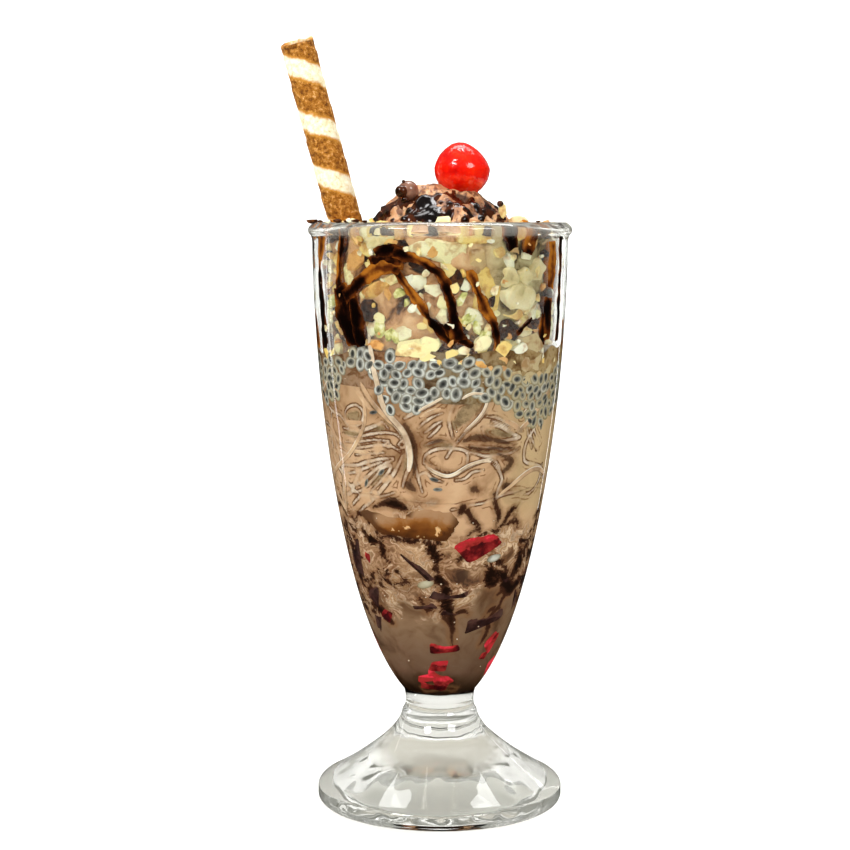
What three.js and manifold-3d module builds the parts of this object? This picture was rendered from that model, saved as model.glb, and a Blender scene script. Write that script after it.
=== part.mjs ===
// Chocolate falooda in a footed soda glass, topped with an ice cream scoop, a cherry and a wafer roll.
// Millimetres, +Z up. The origin is under the middle of the whole drink, wafer included, on the plane
// it stands on. Every piece is shaped round the glass's own axis, and the group is then centred.
import * as THREE from 'three';
import { mergeVertices } from 'three/addons/utils/BufferGeometryUtils.js';
import Module from 'manifold-3d';

const wasm = await Module();
wasm.setup();

// ---- driving dimensions of the glass ----
const glassHeight = 196;
const rimHeight = 5.4;            // the thickened lip at the mouth
const rimRadius = 44;
const bowlRadius = 42.65;         // outside of the bowl, just under the lip
const bowlBase = 31.5;            // height at which the bowl's curve would close to a point
const bowlRoundness = 1.77;       // how soon the side turns upright
const bowlFullness = 2.11;        // how round the bowl is at its bottom
const rimWall = 3.2;
const wallSwell = 6;              // extra glass low in the bowl, where the wall is thickest
const swellHeight = 60;
const swellSpread = 28;
const baseThinning = 1.6;         // the hollow's bottom is rounder than the bowl outside it
const baseSpread = 5;
const cavityFloor = 38;
const stemRadius = 11.6;
const stemHeight = 34.5;
const collarRadius = 12.7;        // where the flare of the foot starts, under the stem
const collarHeight = 30.5;
const footRadius = 41.6;
const footEdge = 6.2;             // thickness of the foot at its edge
const flarePower = 1.6;
const recessRadius = 33.5;        // hollow under the foot
const recessDepth = 12;           // the foot is hollow underneath, nearly along its flare
const recessPower = 1.25;
const fluteCount = 18;            // shallow flutes round the flare of the foot
const fluteDepth = 0.45;

// ---- driving dimensions of what is in and on the glass ----
const gap = 0.3;                  // room between pieces that touch
const wallRoom = 1.4 * gap;       // on the steep low wall this still leaves the gap square to it
const sectors = 36;               // facets round the glass and round each layer in it
const discRings = 3;              // rings of corners across the top and bottom of a layer
const milkTop = 108;              // mean height where the chocolate milk meets the noodles
const noodleTop = 142;
const seedTop = 156;
const bedTop = 193;
const airRoom = 0.9;              // the nuts leave some air between themselves and the glass
const scoopRadius = 28;
const scoopHeight = 181.3;
const scoopSeat = 167;            // height of the hidden flat that the scoop sits on
const cherryRadius = 9;
const cherryCentre = new THREE.Vector3(7.3, -3, 214);
const waferRadius = 5.7;
const waferBore = 2.4;
const waferLength = 97;
const waferTilt = THREE.MathUtils.degToRad(15);
const waferTop = new THREE.Vector3(-47.7, 0, 256);

// ---- helpers ----

function material(color, roughness, opacity = 1) {
  return new THREE.MeshStandardMaterial({ color, roughness, metalness: 0, opacity, transparent: opacity < 1 });
}

function named(name, geometry, look) {
  const mesh = new THREE.Mesh(geometry, look);
  mesh.name = name;
  return mesh;
}

// Keeps only the corner positions and merges the shared ones, so that the mesh is one closed body.
function weld(geometry) {
  const bare = geometry.clone();
  bare.deleteAttribute('normal');
  bare.deleteAttribute('uv');
  return mergeVertices(bare, 1e-4);
}

function toSolid(geometry) {
  const welded = weld(geometry);
  const vertProperties = new Float32Array(welded.attributes.position.array);
  const triVerts = new Uint32Array(welded.index.array);
  return new wasm.Manifold(new wasm.Mesh({ numProp: 3, vertProperties, triVerts }));
}

function toGeometry(solid) {
  const mesh = solid.getMesh();
  const geometry = new THREE.BufferGeometry();
  geometry.setAttribute('position', new THREE.BufferAttribute(mesh.vertProperties, 3));
  geometry.setIndex(new THREE.BufferAttribute(mesh.triVerts, 1));
  return geometry;
}

// Turns an outline of radius and height into a body of revolution about +Z.
function turned(outline, count = sectors) {
  const geometry = new THREE.LatheGeometry(outline, count);
  geometry.rotateX(Math.PI / 2);
  return weld(geometry);
}

// Moves every corner of a geometry by a function of its position.
function reshape(geometry, move) {
  const position = geometry.attributes.position;
  const point = new THREE.Vector3();
  for (let i = 0; i < position.count; i += 1) {
    point.fromBufferAttribute(position, i);
    move(point);
    position.setXYZ(i, point.x, point.y, point.z);
  }
  return geometry;
}

// A smooth uneven number between about -1 and 1, for lumps and for wavy layers.
function uneven(x, y, z, seed) {
  const first = Math.sin(x + 1.7 * seed) * Math.cos(0.8 * y - seed);
  const second = Math.sin(1.9 * y + 0.6 * x + 2.3 * seed) * Math.cos(1.3 * z + seed);
  return 0.6 * first + 0.4 * second;
}

// ---- glass ----

function bowlOutside(z) {
  const rise = (z - bowlBase) / (glassHeight - rimHeight - bowlBase);
  return bowlRadius * (1 - (1 - Math.min(rise, 1)) ** bowlRoundness) ** (1 / bowlFullness);
}

function wallAt(z) {
  const swell = wallSwell * Math.exp(-(((z - swellHeight) / swellSpread) ** 2));
  const thinning = baseThinning * Math.exp(-(((z - cavityFloor - 1) / baseSpread) ** 2));
  return rimWall + swell - thinning;
}

// Heights of the rings of the bowl: close together near the bottom, where it curves most.
function bowlHeights(low, high, count) {
  const heights = [];
  for (let i = 0; i <= count; i += 1) heights.push(low + (high - low) * (i / count) ** 1.5);
  return heights;
}

function footOutline() {
  const outline = [new THREE.Vector2(0, recessDepth)];
  const recessSteps = 4;
  for (let i = 1; i <= recessSteps; i += 1) {
    const share = i / recessSteps;
    outline.push(new THREE.Vector2(recessRadius * share, recessDepth * (1 - share ** recessPower)));
  }
  outline.push(new THREE.Vector2(footRadius - 1.8, 0));
  outline.push(new THREE.Vector2(footRadius - 0.5, 0.8));
  outline.push(new THREE.Vector2(footRadius, 2.4));
  outline.push(new THREE.Vector2(footRadius - 0.2, 4.4));
  const flareSteps = 7;
  const flareRadius = footRadius - 1.2;
  for (let i = 0; i <= flareSteps; i += 1) {
    const drop = 1 - i / flareSteps;
    const z = collarHeight - (collarHeight - footEdge) * drop;
    outline.push(new THREE.Vector2(collarRadius + (flareRadius - collarRadius) * drop ** flarePower, z));
  }
  outline.push(new THREE.Vector2(stemRadius, collarHeight + 1.6));
  outline.push(new THREE.Vector2(stemRadius, stemHeight));
  return outline;
}

function rimOutline() {
  const lip = glassHeight - rimHeight;
  const inside = bowlRadius - rimWall;
  return [
    new THREE.Vector2(rimRadius - 0.7, lip + 0.8),
    new THREE.Vector2(rimRadius, lip + 2.8),
    new THREE.Vector2(rimRadius - 0.5, glassHeight - 1),
    new THREE.Vector2(rimRadius - 1.9, glassHeight),
    new THREE.Vector2(inside + 0.9, glassHeight - 0.3),
    new THREE.Vector2(inside, glassHeight - 1.7),
  ];
}

const cavityRings = [];
for (const z of bowlHeights(cavityFloor + 0.5, glassHeight - rimHeight, 13)) {
  cavityRings.push(new THREE.Vector2(bowlOutside(z) - wallAt(z), z));
}

// Radius of the hollow at a height, read between the rings of the glass.
function cavityRadius(z) {
  if (z <= cavityRings[0].y) return cavityRings[0].x;
  for (let i = 1; i < cavityRings.length; i += 1) {
    const low = cavityRings[i - 1];
    const high = cavityRings[i];
    if (z <= high.y) return THREE.MathUtils.mapLinear(z, low.y, high.y, low.x, high.x);
  }
  return cavityRings[cavityRings.length - 1].x;
}

function glassGeometry() {
  const outside = bowlHeights(38, glassHeight - rimHeight, 13).map((z) => new THREE.Vector2(bowlOutside(z), z));
  const inside = cavityRings.slice().reverse();
  const floor = new THREE.Vector2(0, cavityFloor);
  const outline = [...footOutline(), ...outside, ...rimOutline(), ...inside, floor];
  return reshape(turned(outline), (point) => {
    const radius = Math.hypot(point.x, point.y);
    const onFlare = point.z > footEdge - 0.1 && point.z < collarHeight && radius > collarRadius;
    if (!onFlare) return;
    const reach = Math.sin(Math.PI * (radius - collarRadius) / (footRadius - collarRadius));
    const flute = fluteDepth * reach * Math.cos(fluteCount * Math.atan2(point.y, point.x));
    point.multiply(new THREE.Vector3(1 + flute / radius, 1 + flute / radius, 1));
  });
}

// ---- layers in the glass ----

// Uneven surfaces where one layer ends and the next starts.
const surfaces = {
  milk: (x, y) => milkTop + 3.2 * uneven(x / 11, y / 11, 0, 1),
  noodles: (x, y) => noodleTop + 4.2 * uneven(x / 12, y / 12, 0, 3) - 0.12 * x,
  seeds: (x, y) => seedTop + 2.4 * uneven(x / 9, y / 9, 0, 5),
  bed: (x, y) => bedTop + 0.5 * uneven(x / 5, y / 5, 0, 7),
};

// Finds where an uneven surface meets the wall at an angle: its radius and height there.
function edgeOf(surface, angle) {
  let radius = cavityRadius(surface(0, 0));
  let z = 0;
  for (let pass = 0; pass < 4; pass += 1) {
    z = surface(radius * Math.cos(angle), radius * Math.sin(angle));
    radius = cavityRadius(z) - wallRoom;
  }
  return { radius, z };
}

// A layer's solid between two surfaces: a bottom disc, a side of rings along the wall, and a top disc.
// Each surface is shared with the next layer, and each layer keeps back half the gap from it.
function layerGeometry(bottom, top, sideRings) {
  const angles = Array.from({ length: sectors }, (_, i) => (2 * Math.PI * i) / sectors);
  const discRow = (surface, share, step) => angles.map((angle) => {
    const { radius } = edgeOf(surface, angle);
    const x = radius * share * Math.cos(angle);
    const y = radius * share * Math.sin(angle);
    return new THREE.Vector3(x, y, surface(x, y) + step);
  });
  const lower = discRow(bottom, 1, gap / 2);
  const upper = discRow(top, 1, -gap / 2);
  const rows = [];
  for (let ring = 1; ring < discRings; ring += 1) rows.push(discRow(bottom, ring / discRings, gap / 2));
  rows.push(lower);
  for (let ring = 1; ring < sideRings; ring += 1) {
    rows.push(angles.map((angle, i) => {
      const z = THREE.MathUtils.lerp(lower[i].z, upper[i].z, ring / sideRings);
      const radius = cavityRadius(z) - wallRoom;
      return new THREE.Vector3(radius * Math.cos(angle), radius * Math.sin(angle), z);
    }));
  }
  rows.push(upper);
  for (let ring = discRings - 1; ring > 0; ring -= 1) rows.push(discRow(top, ring / discRings, -gap / 2));
  const lowest = new THREE.Vector3(0, 0, bottom(0, 0) + gap / 2);
  const highest = new THREE.Vector3(0, 0, top(0, 0) - gap / 2);
  return capped(rows, lowest, highest);
}

// Joins rows of corners into one closed skin, with a single corner at each end. The top disc is split
// along the same diagonals as the bottom disc of the layer above, so that the gap between them is even.
function capped(rows, first, last) {
  const positions = [first, ...rows.flat(), last].flatMap((point) => point.toArray());
  const corner = (row, i) => 1 + row * sectors + (i % sectors);
  const end = 1 + rows.length * sectors;
  const index = [];
  for (let i = 0; i < sectors; i += 1) {
    index.push(0, corner(0, i + 1), corner(0, i));
    index.push(end, corner(rows.length - 1, i), corner(rows.length - 1, i + 1));
    for (let row = 1; row < rows.length; row += 1) {
      const [a, b] = [corner(row - 1, i), corner(row - 1, i + 1)];
      const [c, d] = [corner(row, i + 1), corner(row, i)];
      const inTopDisc = row > rows.length - discRings;
      if (inTopDisc) index.push(a, b, d, b, c, d);
      else index.push(a, b, c, a, c, d);
    }
  }
  const geometry = new THREE.BufferGeometry();
  geometry.setAttribute('position', new THREE.Float32BufferAttribute(positions, 3));
  geometry.setIndex(index);
  return geometry;
}

function milkGeometry() {
  const floor = () => cavityFloor + 0.5 + gap;
  return layerGeometry(floor, surfaces.milk, 9);
}

function noodleGeometry() {
  return layerGeometry(surfaces.milk, surfaces.noodles, 4);
}

function seedGeometry() {
  return layerGeometry(surfaces.noodles, surfaces.seeds, 3);
}

// Nuts, syrup and crumbs: knobbly against the glass, and hollowed for the scoop and the wafer.
function bedGeometry() {
  const heap = layerGeometry(surfaces.seeds, surfaces.bed, 6);
  return reshape(heap, (point) => {
    const radius = Math.hypot(point.x, point.y);
    const nearWall = radius > 0.9 * cavityRadius(point.z);
    if (!nearWall) return;
    const dent = airRoom * (1 + uneven(point.x / 4, point.y / 4, point.z / 4, 9));
    point.multiply(new THREE.Vector3(1 - dent / radius, 1 - dent / radius, 1));
  });
}

// ---- toppings ----

// The scoop is grown by a margin to cut its own seat in the nuts.
function scoopGeometry(margin) {
  const ball = new THREE.SphereGeometry(scoopRadius, 24, 16);
  ball.rotateX(Math.PI / 2);
  const lumpy = reshape(weld(ball), (point) => {
    const lump = 1 + 0.03 * uneven(point.x / 5, point.y / 5, point.z / 5, 2) + margin / scoopRadius;
    point.multiplyScalar(lump);
    point.z = Math.max(point.z + scoopHeight, scoopSeat - margin);
  });
  return lumpy;
}

function cherryGeometry(margin) {
  const outline = [];
  const steps = 12;
  for (let i = 0; i <= steps; i += 1) {
    const angle = -Math.PI / 2 + (Math.PI * i) / steps;
    const narrowing = 1 - 0.05 * Math.sin(angle);
    const radius = i % steps === 0 ? 0 : (cherryRadius + margin) * Math.cos(angle) * narrowing;
    outline.push(new THREE.Vector2(radius, (cherryRadius + margin) * Math.sin(angle)));
  }
  const ball = turned(outline, 18);
  return reshape(ball, (point) => {
    point.multiplyScalar(1 + 0.02 * uneven(point.x / 4, point.y / 4, point.z / 4, 4));
    point.add(cherryCentre);
  });
}

// A rolled wafer biscuit: a slightly uneven tube, open at both ends.
function waferGeometry(margin, bore) {
  const outline = [];
  const steps = 8;
  for (let i = 0; i <= steps; i += 1) {
    const wave = 0.12 * Math.sin(2.1 * i);
    outline.push(new THREE.Vector2(waferRadius + wave + margin, -(waferLength + margin) * (1 - i / steps)));
  }
  const closed = bore > 0
    ? [new THREE.Vector2(bore, -waferLength), ...outline, new THREE.Vector2(bore, 0)]
    : [new THREE.Vector2(0, -waferLength - margin), ...outline, new THREE.Vector2(0, 0)];
  if (bore > 0) closed.push(closed[0].clone());
  const tube = turned(closed, 16);
  tube.rotateY(-waferTilt);
  tube.translate(waferTop.x, waferTop.y, waferTop.z);
  return tube;
}

const waferHole = toSolid(waferGeometry(gap, 0));
const cherryHole = toSolid(cherryGeometry(gap));
const scoopHole = toSolid(scoopGeometry(gap));
const scoop = toSolid(scoopGeometry(0)).subtract(waferHole).subtract(cherryHole);
const bed = toSolid(bedGeometry()).subtract(scoopHole).subtract(waferHole);

// ---- the whole drink ----

const leftmost = waferTop.x - waferRadius * Math.cos(waferTilt);
const group = new THREE.Group();
group.position.x = -(leftmost + rimRadius) / 2;
group.add(named('glass', glassGeometry(), material(0xf2f6f4, 0.05, 0.3)));
group.add(named('chocolate_milk', milkGeometry(), material(0x8b6a4e, 0.5)));
group.add(named('falooda_noodles', noodleGeometry(), material(0xc49f7a, 0.5)));
group.add(named('basil_seeds', seedGeometry(), material(0x9a9992, 0.4)));
group.add(named('nut_bed', toGeometry(bed), material(0xb08a52, 0.6)));
group.add(named('ice_cream', toGeometry(scoop), material(0x9c6f56, 0.55)));
group.add(named('cherry', cherryGeometry(0), material(0xd81405, 0.25)));
group.add(named('wafer_roll', waferGeometry(0, waferBore), material(0xa9712f, 0.8)));

export default group;
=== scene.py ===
# %% [markdown]
# # A chocolate falooda in a soda glass
# Falooda is a layered dessert drink. From the bottom up, this one is chocolate milk with jelly
# cubes in it, noodles in beige milk, soaked basil seeds, and chopped nuts with chocolate syrup.
# A scoop of ice cream, a cherry and a rolled wafer stand on top. The solid model gives every
# piece its place. This script gives each one its surface, and makes the hundreds of small
# things that a solid model leaves out.

# %% Load the solid model
import math
import random

import bmesh
import bpy
import numpy as np
from mathutils import Matrix, Vector, noise


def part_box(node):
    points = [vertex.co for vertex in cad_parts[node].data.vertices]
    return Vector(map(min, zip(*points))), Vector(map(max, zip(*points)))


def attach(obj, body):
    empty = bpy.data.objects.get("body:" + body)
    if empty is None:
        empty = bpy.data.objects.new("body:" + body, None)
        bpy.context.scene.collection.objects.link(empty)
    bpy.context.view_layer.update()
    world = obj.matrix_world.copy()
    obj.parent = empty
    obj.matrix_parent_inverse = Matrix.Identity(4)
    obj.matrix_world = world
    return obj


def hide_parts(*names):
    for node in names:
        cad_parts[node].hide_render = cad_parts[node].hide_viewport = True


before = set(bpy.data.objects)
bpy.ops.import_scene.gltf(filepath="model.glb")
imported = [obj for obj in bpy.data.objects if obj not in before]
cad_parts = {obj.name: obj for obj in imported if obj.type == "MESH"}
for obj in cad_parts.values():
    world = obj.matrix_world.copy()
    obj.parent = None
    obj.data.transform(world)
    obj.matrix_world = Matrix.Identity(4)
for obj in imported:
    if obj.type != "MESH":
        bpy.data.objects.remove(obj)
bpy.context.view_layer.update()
print("solid model:", sorted(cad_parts))

# %% [markdown]
# ## Measures
# Everything in the glass is round the glass's own axis, so pieces are drawn in millimetres round
# that axis, and one function puts them in their place at the end. The height and the rim's
# radius are read from the solid model. The bowl's curve is the same formula as in the model.

# %% The glass's measures, in millimetres
MM = 0.001
glass_low, glass_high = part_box("glass")
AXIS = Vector(((glass_low.x + glass_high.x) / 2, (glass_low.y + glass_high.y) / 2, 0))
HEIGHT = glass_high.z / MM
RIM_RADIUS = (glass_high.x - glass_low.x) / 2 / MM
LIP = 5.4
WALL = 3.2
BOWL_RADIUS = RIM_RADIUS - 1.35
BOWL_BASE = 31.5
CAVITY_FLOOR = 38
ROUNDING = 6


def bowl(z):
    """Outer radius of the bowl at a height."""
    rise = min((z - BOWL_BASE) / (HEIGHT - LIP - BOWL_BASE), 1)
    return BOWL_RADIUS * (1 - (1 - rise) ** 1.77) ** (1 / 2.11)


def cavity(z):
    """Inner radius: the wall is thickest low in the bowl, over a round bottom."""
    low = max(z, CAVITY_FLOOR)
    swell = 6 * math.exp(-(((low - 60) / 28) ** 2))
    thinning = 1.6 * math.exp(-(((low - CAVITY_FLOOR - 1) / 5) ** 2))
    below_bend = max(1 - (low - CAVITY_FLOOR) / ROUNDING, 0)
    return (bowl(low) - WALL - swell + thinning) * math.sqrt(1 - below_bend ** 2)


def uneven(x, y, z, seed):
    """A smooth number between about -1 and 1, the same one that shapes the solid layers."""
    first = math.sin(x + 1.7 * seed) * math.cos(0.8 * y - seed)
    second = math.sin(1.9 * y + 0.6 * x + 2.3 * seed) * math.cos(1.3 * z + seed)
    return 0.6 * first + 0.4 * second


def milk_top(x, y):
    return 108 + 3.2 * uneven(x / 11, y / 11, 0, 1)


def noodle_top(x, y):
    return 142 + 4.2 * uneven(x / 12, y / 12, 0, 3) - 0.12 * x


def seed_top(x, y):
    return 156 + 2.4 * uneven(x / 9, y / 9, 0, 5)


print(f"glass {HEIGHT:.0f} mm tall, {2 * RIM_RADIUS:.0f} mm across its rim, axis at x {AXIS.x / MM:.1f} mm")

# %% [markdown]
# ## Helpers
# A piece ends its making in one function, which turns millimetres into metres, shifts the piece
# on to the glass's axis, gives it its material and ties it to the solid model. Another function
# adds a shader node with its settings and links. Numbers in a shader can be added and
# multiplied like any number, so that a material reads as a short sum.

# %% Finish a piece
def as_object(name, bm, finish):
    """Makes a smooth object of a bmesh."""
    mesh = bpy.data.meshes.new(name)
    bm.to_mesh(mesh)
    bm.free()
    mesh.polygons.foreach_set("use_smooth", [True] * len(mesh.polygons))
    mesh.materials.append(finish)
    thing = bpy.data.objects.new(name, mesh)
    bpy.context.scene.collection.objects.link(thing)
    return thing


def piece(name, bm, finish, replaced=(), sharp=None):
    """Ends a piece drawn in millimetres round the glass's axis. Edges over the sharp angle stay hard."""
    bm.transform(Matrix.Translation(AXIS) @ Matrix.Scale(MM, 4))
    thing = as_object(name, bm, finish)
    if sharp:
        thing.data.set_sharp_from_angle(angle=math.radians(sharp))
    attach(thing, "root")
    if replaced:
        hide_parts(*replaced)
    print(f"{name}: {len(thing.data.polygons)} faces")


# %% Colours, nodes and sums of nodes
def srgb(code):
    """A linear colour from an sRGB hex code."""
    parts = [int(code[i:i + 2], 16) / 255 for i in (0, 2, 4)]
    linear = [c / 12.92 if c <= 0.04045 else ((c + 0.055) / 1.055) ** 2.4 for c in parts]
    return (*linear, 1)


def add(kind, sockets=None, tree=None, **settings):
    """Adds a node with settings, and with links, numbers or hex colours for its sockets."""
    values = {name: getattr(value, "socket", value) for name, value in (sockets or {}).items()}
    links = {name: value for name, value in values.items() if isinstance(value, bpy.types.NodeSocket)}
    tree = tree or next(iter(links.values())).id_data
    new = tree.nodes.new(kind)
    for name, value in settings.items():
        setattr(new, name, value)
    for name, value in values.items():
        if name in links:
            tree.links.new(value, new.inputs[name])
        else:
            new.inputs[name].default_value = srgb(value) if isinstance(value, str) else value
    return new


def worked_out(operation, *numbers):
    """What the material works out from numbers."""
    return Number(add("ShaderNodeMath", dict(enumerate(numbers)), operation=operation).outputs[0])


class Number:
    """A number that a material works out at each point, for sums with other numbers."""

    def __init__(self, socket):
        self.socket = socket

    def __add__(self, other):
        return worked_out("ADD", self, other)

    def __mul__(self, other):
        return worked_out("MULTIPLY", self, other)

    def __neg__(self):
        return self * -1

    def __sub__(self, other):
        return self + -other

    def __abs__(self):
        return worked_out("ABSOLUTE", self)

    __rmul__ = __mul__


# %% What materials are made of
def new_finish(name):
    """An empty material, and the position on the piece round the glass's axis."""
    finish = bpy.data.materials.new(name)
    finish.use_nodes = True
    finish.node_tree.nodes.clear()
    place = add("ShaderNodeTexCoord", tree=finish.node_tree).outputs["Object"]
    return finish, add("ShaderNodeMapping", {"Vector": place, "Location": -AXIS}).outputs["Vector"]


def close(finish, shader):
    """Gives a material its surface."""
    add("ShaderNodeOutputMaterial", {"Surface": shader})
    return finish


def ramp(number, *stops):
    """A colour ramp from (place, hex) stops."""
    new = add("ShaderNodeValToRGB", {"Fac": number})
    elements = new.color_ramp.elements
    while len(elements) < len(stops):
        elements.new(0.5)
    for element, (place, code) in zip(elements, stops):
        element.position = place
        element.color = srgb(code)
    return new.outputs["Color"]


def blend(share, first, second, kind="MIX"):
    """Mixes two colours."""
    sockets = {"Fac": share, "Color1": first, "Color2": second}
    return add("ShaderNodeMixRGB", sockets, blend_type=kind).outputs["Color"]


def cover(share, under, over):
    """Covers a share of one shader with another."""
    return add("ShaderNodeMixShader", {0: share, 1: under, 2: over}).outputs[0]


def grain(place, size, detail=3.0, rough=0.55, **more):
    """A noise with features of a size in millimetres. It has a fourth coordinate where W is given."""
    sockets = {"Vector": place, "Scale": 1 / (size * MM), "Detail": detail, "Roughness": rough, **more}
    return Number(add("ShaderNodeTexNoise", sockets, noise_dimensions="4D" if more else "3D").outputs["Fac"])


def swirl(place, size, amount):
    """The position pushed about by a noise, in millimetres, which makes a pattern flow."""
    sockets = {"Vector": place, "Scale": 1 / (size * MM), "Detail": 2.0, "Roughness": 0.55}
    push = add("ShaderNodeTexNoise", sockets).outputs["Color"]
    middle = add("ShaderNodeVectorMath", {0: push, 1: (0.5, 0.5, 0.5)}, operation="SUBTRACT").outputs[0]
    shift = add("ShaderNodeVectorMath", {0: middle, "Scale": amount * MM}, operation="SCALE").outputs[0]
    return add("ShaderNodeVectorMath", {0: place, 1: shift}, operation="ADD").outputs[0]


def relief(height, depth, strength=1.0):
    """A bump of a depth in millimetres."""
    sockets = {"Height": height, "Distance": depth * MM, "Strength": strength}
    return add("ShaderNodeBump", sockets).outputs["Normal"]


def above(number, low, high):
    """0 up to low, 1 from high on, and smooth between."""
    sockets = {"Value": number, "From Min": low, "From Max": high}
    return Number(add("ShaderNodeMapRange", sockets, interpolation_type="SMOOTHSTEP").outputs["Result"])


def below(number, low, high):
    """1 up to low, 0 from high on, and smooth between."""
    return above(-number, -high, -low)


def coordinate(place, axis):
    """X, Y or Z of a position, in metres."""
    return Number(add("ShaderNodeSeparateXYZ", {"Vector": place}).outputs[axis])


def stored(finish, name):
    """A number that a piece's mesh carries at each point."""
    return Number(add("ShaderNodeAttribute", tree=finish.node_tree, attribute_name=name).outputs["Fac"])


# %% [markdown]
# ## Shapes against the glass
# Most of what shows is pressed against the inside of the glass. A piece is drawn in a small
# frame that lies on the wall: X runs to the right, Y up, and Z out through the glass. Where a
# piece would stick out, it is flattened on to the wall, a few tenths of a millimetre inside the
# glass, so that no film of air is left between food and glass. Pieces that overlap there reach
# to depths of their own, so that one of them clearly lies in front.

# %% Work on the wall
def as_mesh(bm):
    """Keeps a bmesh as a mesh that can be copied many times."""
    mesh = bpy.data.meshes.new("prototype")
    bm.to_mesh(mesh)
    bm.free()
    return mesh


def move_out(vert, distance):
    """Moves a point away from the axis, or towards it where the distance is below 0."""
    radius = math.hypot(vert.co.x, vert.co.y)
    vert.co.x *= 1 + distance / radius
    vert.co.y *= 1 + distance / radius


def at_wall(azimuth, height, depth=0.0, turn=0.0):
    """A frame on the wall. Azimuth 0 is the front and 90 the right-hand side, in degrees."""
    angle = math.radians(azimuth)
    out = Vector((math.sin(angle), -math.cos(angle), 0))
    right = Vector((math.cos(angle), math.sin(angle), 0))
    frame_on_wall = Matrix((right, (0, 0, 1), out)).transposed().to_4x4()
    spot = out * (cavity(height) - depth) + Vector((0, 0, height))
    return Matrix.Translation(spot) @ frame_on_wall @ Matrix.Rotation(math.radians(turn), 4, "Z")


def press(verts, reach):
    """Flattens what sticks out on to the wall, a little inside the glass."""
    for vert in verts:
        excess = math.hypot(vert.co.x, vert.co.y) - cavity(vert.co.z) - reach
        if excess > 0:
            move_out(vert, -excess)


def paste(bm, mesh, matrix, reach=None):
    """Adds a copy of a mesh, pressed on the wall where it is given a reach, and returns its points."""
    count = len(bm.verts)
    bm.from_mesh(mesh)
    bm.verts.ensure_lookup_table()
    verts = bm.verts[count:]
    for vert in verts:
        vert.co = matrix @ vert.co
    if reach is not None:
        press(verts, reach)
    return verts


# %% Turned pieces and layers
def turned(profile, segments):
    """Spins an outline of (radius, height) points round the axis."""
    bm = bmesh.new()
    verts = [bm.verts.new((r, 0, z)) for r, z in profile]
    edges = [bm.edges.new(pair) for pair in zip(verts, verts[1:])]
    bmesh.ops.spin(bm, geom=verts + edges, cent=(0, 0, 0), axis=(0, 0, 1), dvec=(0, 0, 0),
                   angle=math.tau, steps=segments, use_merge=True, use_duplicate=False)
    bmesh.ops.remove_doubles(bm, verts=bm.verts, dist=1e-4)
    bmesh.ops.recalc_face_normals(bm, faces=bm.faces)
    return bm


def edge_height(surface, angle):
    """The height where an uneven surface meets the wall."""
    z = surface(0, 0)
    for _ in range(3):
        z = surface(cavity(z) * math.cos(angle), cavity(z) * math.sin(angle))
    return z


def layer(bottom, top, reach, rings, segments=180, crowd=1.0):
    """A layer that fills the glass between two uneven surfaces, and reaches just into the wall."""
    side = [(1, (i / rings) ** crowd) for i in range(rings + 1)]
    bm = turned([(0, 0), (0.6, 0), *side, (0.6, 1), (0, 1)], segments)
    mouths = {}
    for vert in bm.verts:
        spread = math.hypot(vert.co.x, vert.co.y)
        angle = math.atan2(vert.co.y, vert.co.x)
        key = round(angle, 4)
        if key not in mouths:
            mouths[key] = (edge_height(bottom, angle), edge_height(top, angle))
        low, high = mouths[key]
        z = low + (high - low) * vert.co.z
        radius = (cavity(z + 0.15) + reach) * spread
        vert.co = (radius * math.cos(angle), radius * math.sin(angle), z)
    return bm


# %% [markdown]
# ## The glass
# Soda glasses are pressed: molten glass is pushed into a mould, which leaves a thick foot, a
# thickened lip and slightly wavy walls. Under the foot is a hollow, left rough in its middle by
# the mould. Spinning the outline gives the body. The flutes of the foot and the waviness are
# then pushed into it, and how rough each place is gets stored on the mesh. The outline has true
# arcs at the edge of the foot and at the lip, because clear glass shows corners as hard lines.

# %% The glass's outline, from under the foot round to the inside
FOOT_RADIUS = 41.6
FOOT_EDGE = 6.2
RECESS_RADIUS = 33.5
RECESS_DEPTH = 12
MOULD_MARK_RADIUS = 20
COLLAR_RADIUS = 12.7
COLLAR_HEIGHT = 30.5
STEM_RADIUS = 11.6
STEM_TOP = 34.5
BOWL_FOOT = 38


def arc(centre, radius, start, end, steps):
    """Points of an arc in the plane of radius and height, with angles in degrees."""
    angles = [math.radians(start + (end - start) * i / steps) for i in range(steps + 1)]
    return [(centre[0] + radius * math.cos(a), centre[1] + radius * math.sin(a)) for a in angles]


def spread_heights(low, high, count):
    """Heights that lie close together at the low end, where the bowl curves most."""
    return [low + (high - low) * (i / count) ** 1.5 for i in range(count + 1)]


outline = [(RECESS_RADIUS * i / 24, RECESS_DEPTH * (1 - (i / 24) ** 2) ** 1.2) for i in range(25)]
outline += arc((FOOT_RADIUS - 2, 2), 2, -90, 0, 6) + arc((FOOT_RADIUS - 1.9, 4.3), 1.9, 10, 62, 5)
for i in range(31):
    drop = 1 - i / 30
    flare = (FOOT_RADIUS - 1.2 - COLLAR_RADIUS) * drop ** 1.6
    outline.append((COLLAR_RADIUS + flare, COLLAR_HEIGHT - (COLLAR_HEIGHT - FOOT_EDGE) * drop))
outline += [(12.1, COLLAR_HEIGHT + 0.9), (STEM_RADIUS + 0.1, COLLAR_HEIGHT + 1.9), (STEM_RADIUS, 33.4),
            (STEM_RADIUS, STEM_TOP), (STEM_RADIUS + 0.15, 36.2)]
outline += [(bowl(z), z) for z in spread_heights(BOWL_FOOT, HEIGHT - LIP - 1, 44)]
outline += [(BOWL_RADIUS + 0.1, HEIGHT - LIP)] + arc((RIM_RADIUS - 2, HEIGHT - 2.6), 2, -55, 45, 8)
outline += arc((RIM_RADIUS - 2.3, HEIGHT - 1.3), 1.3, 70, 160, 6)
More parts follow.
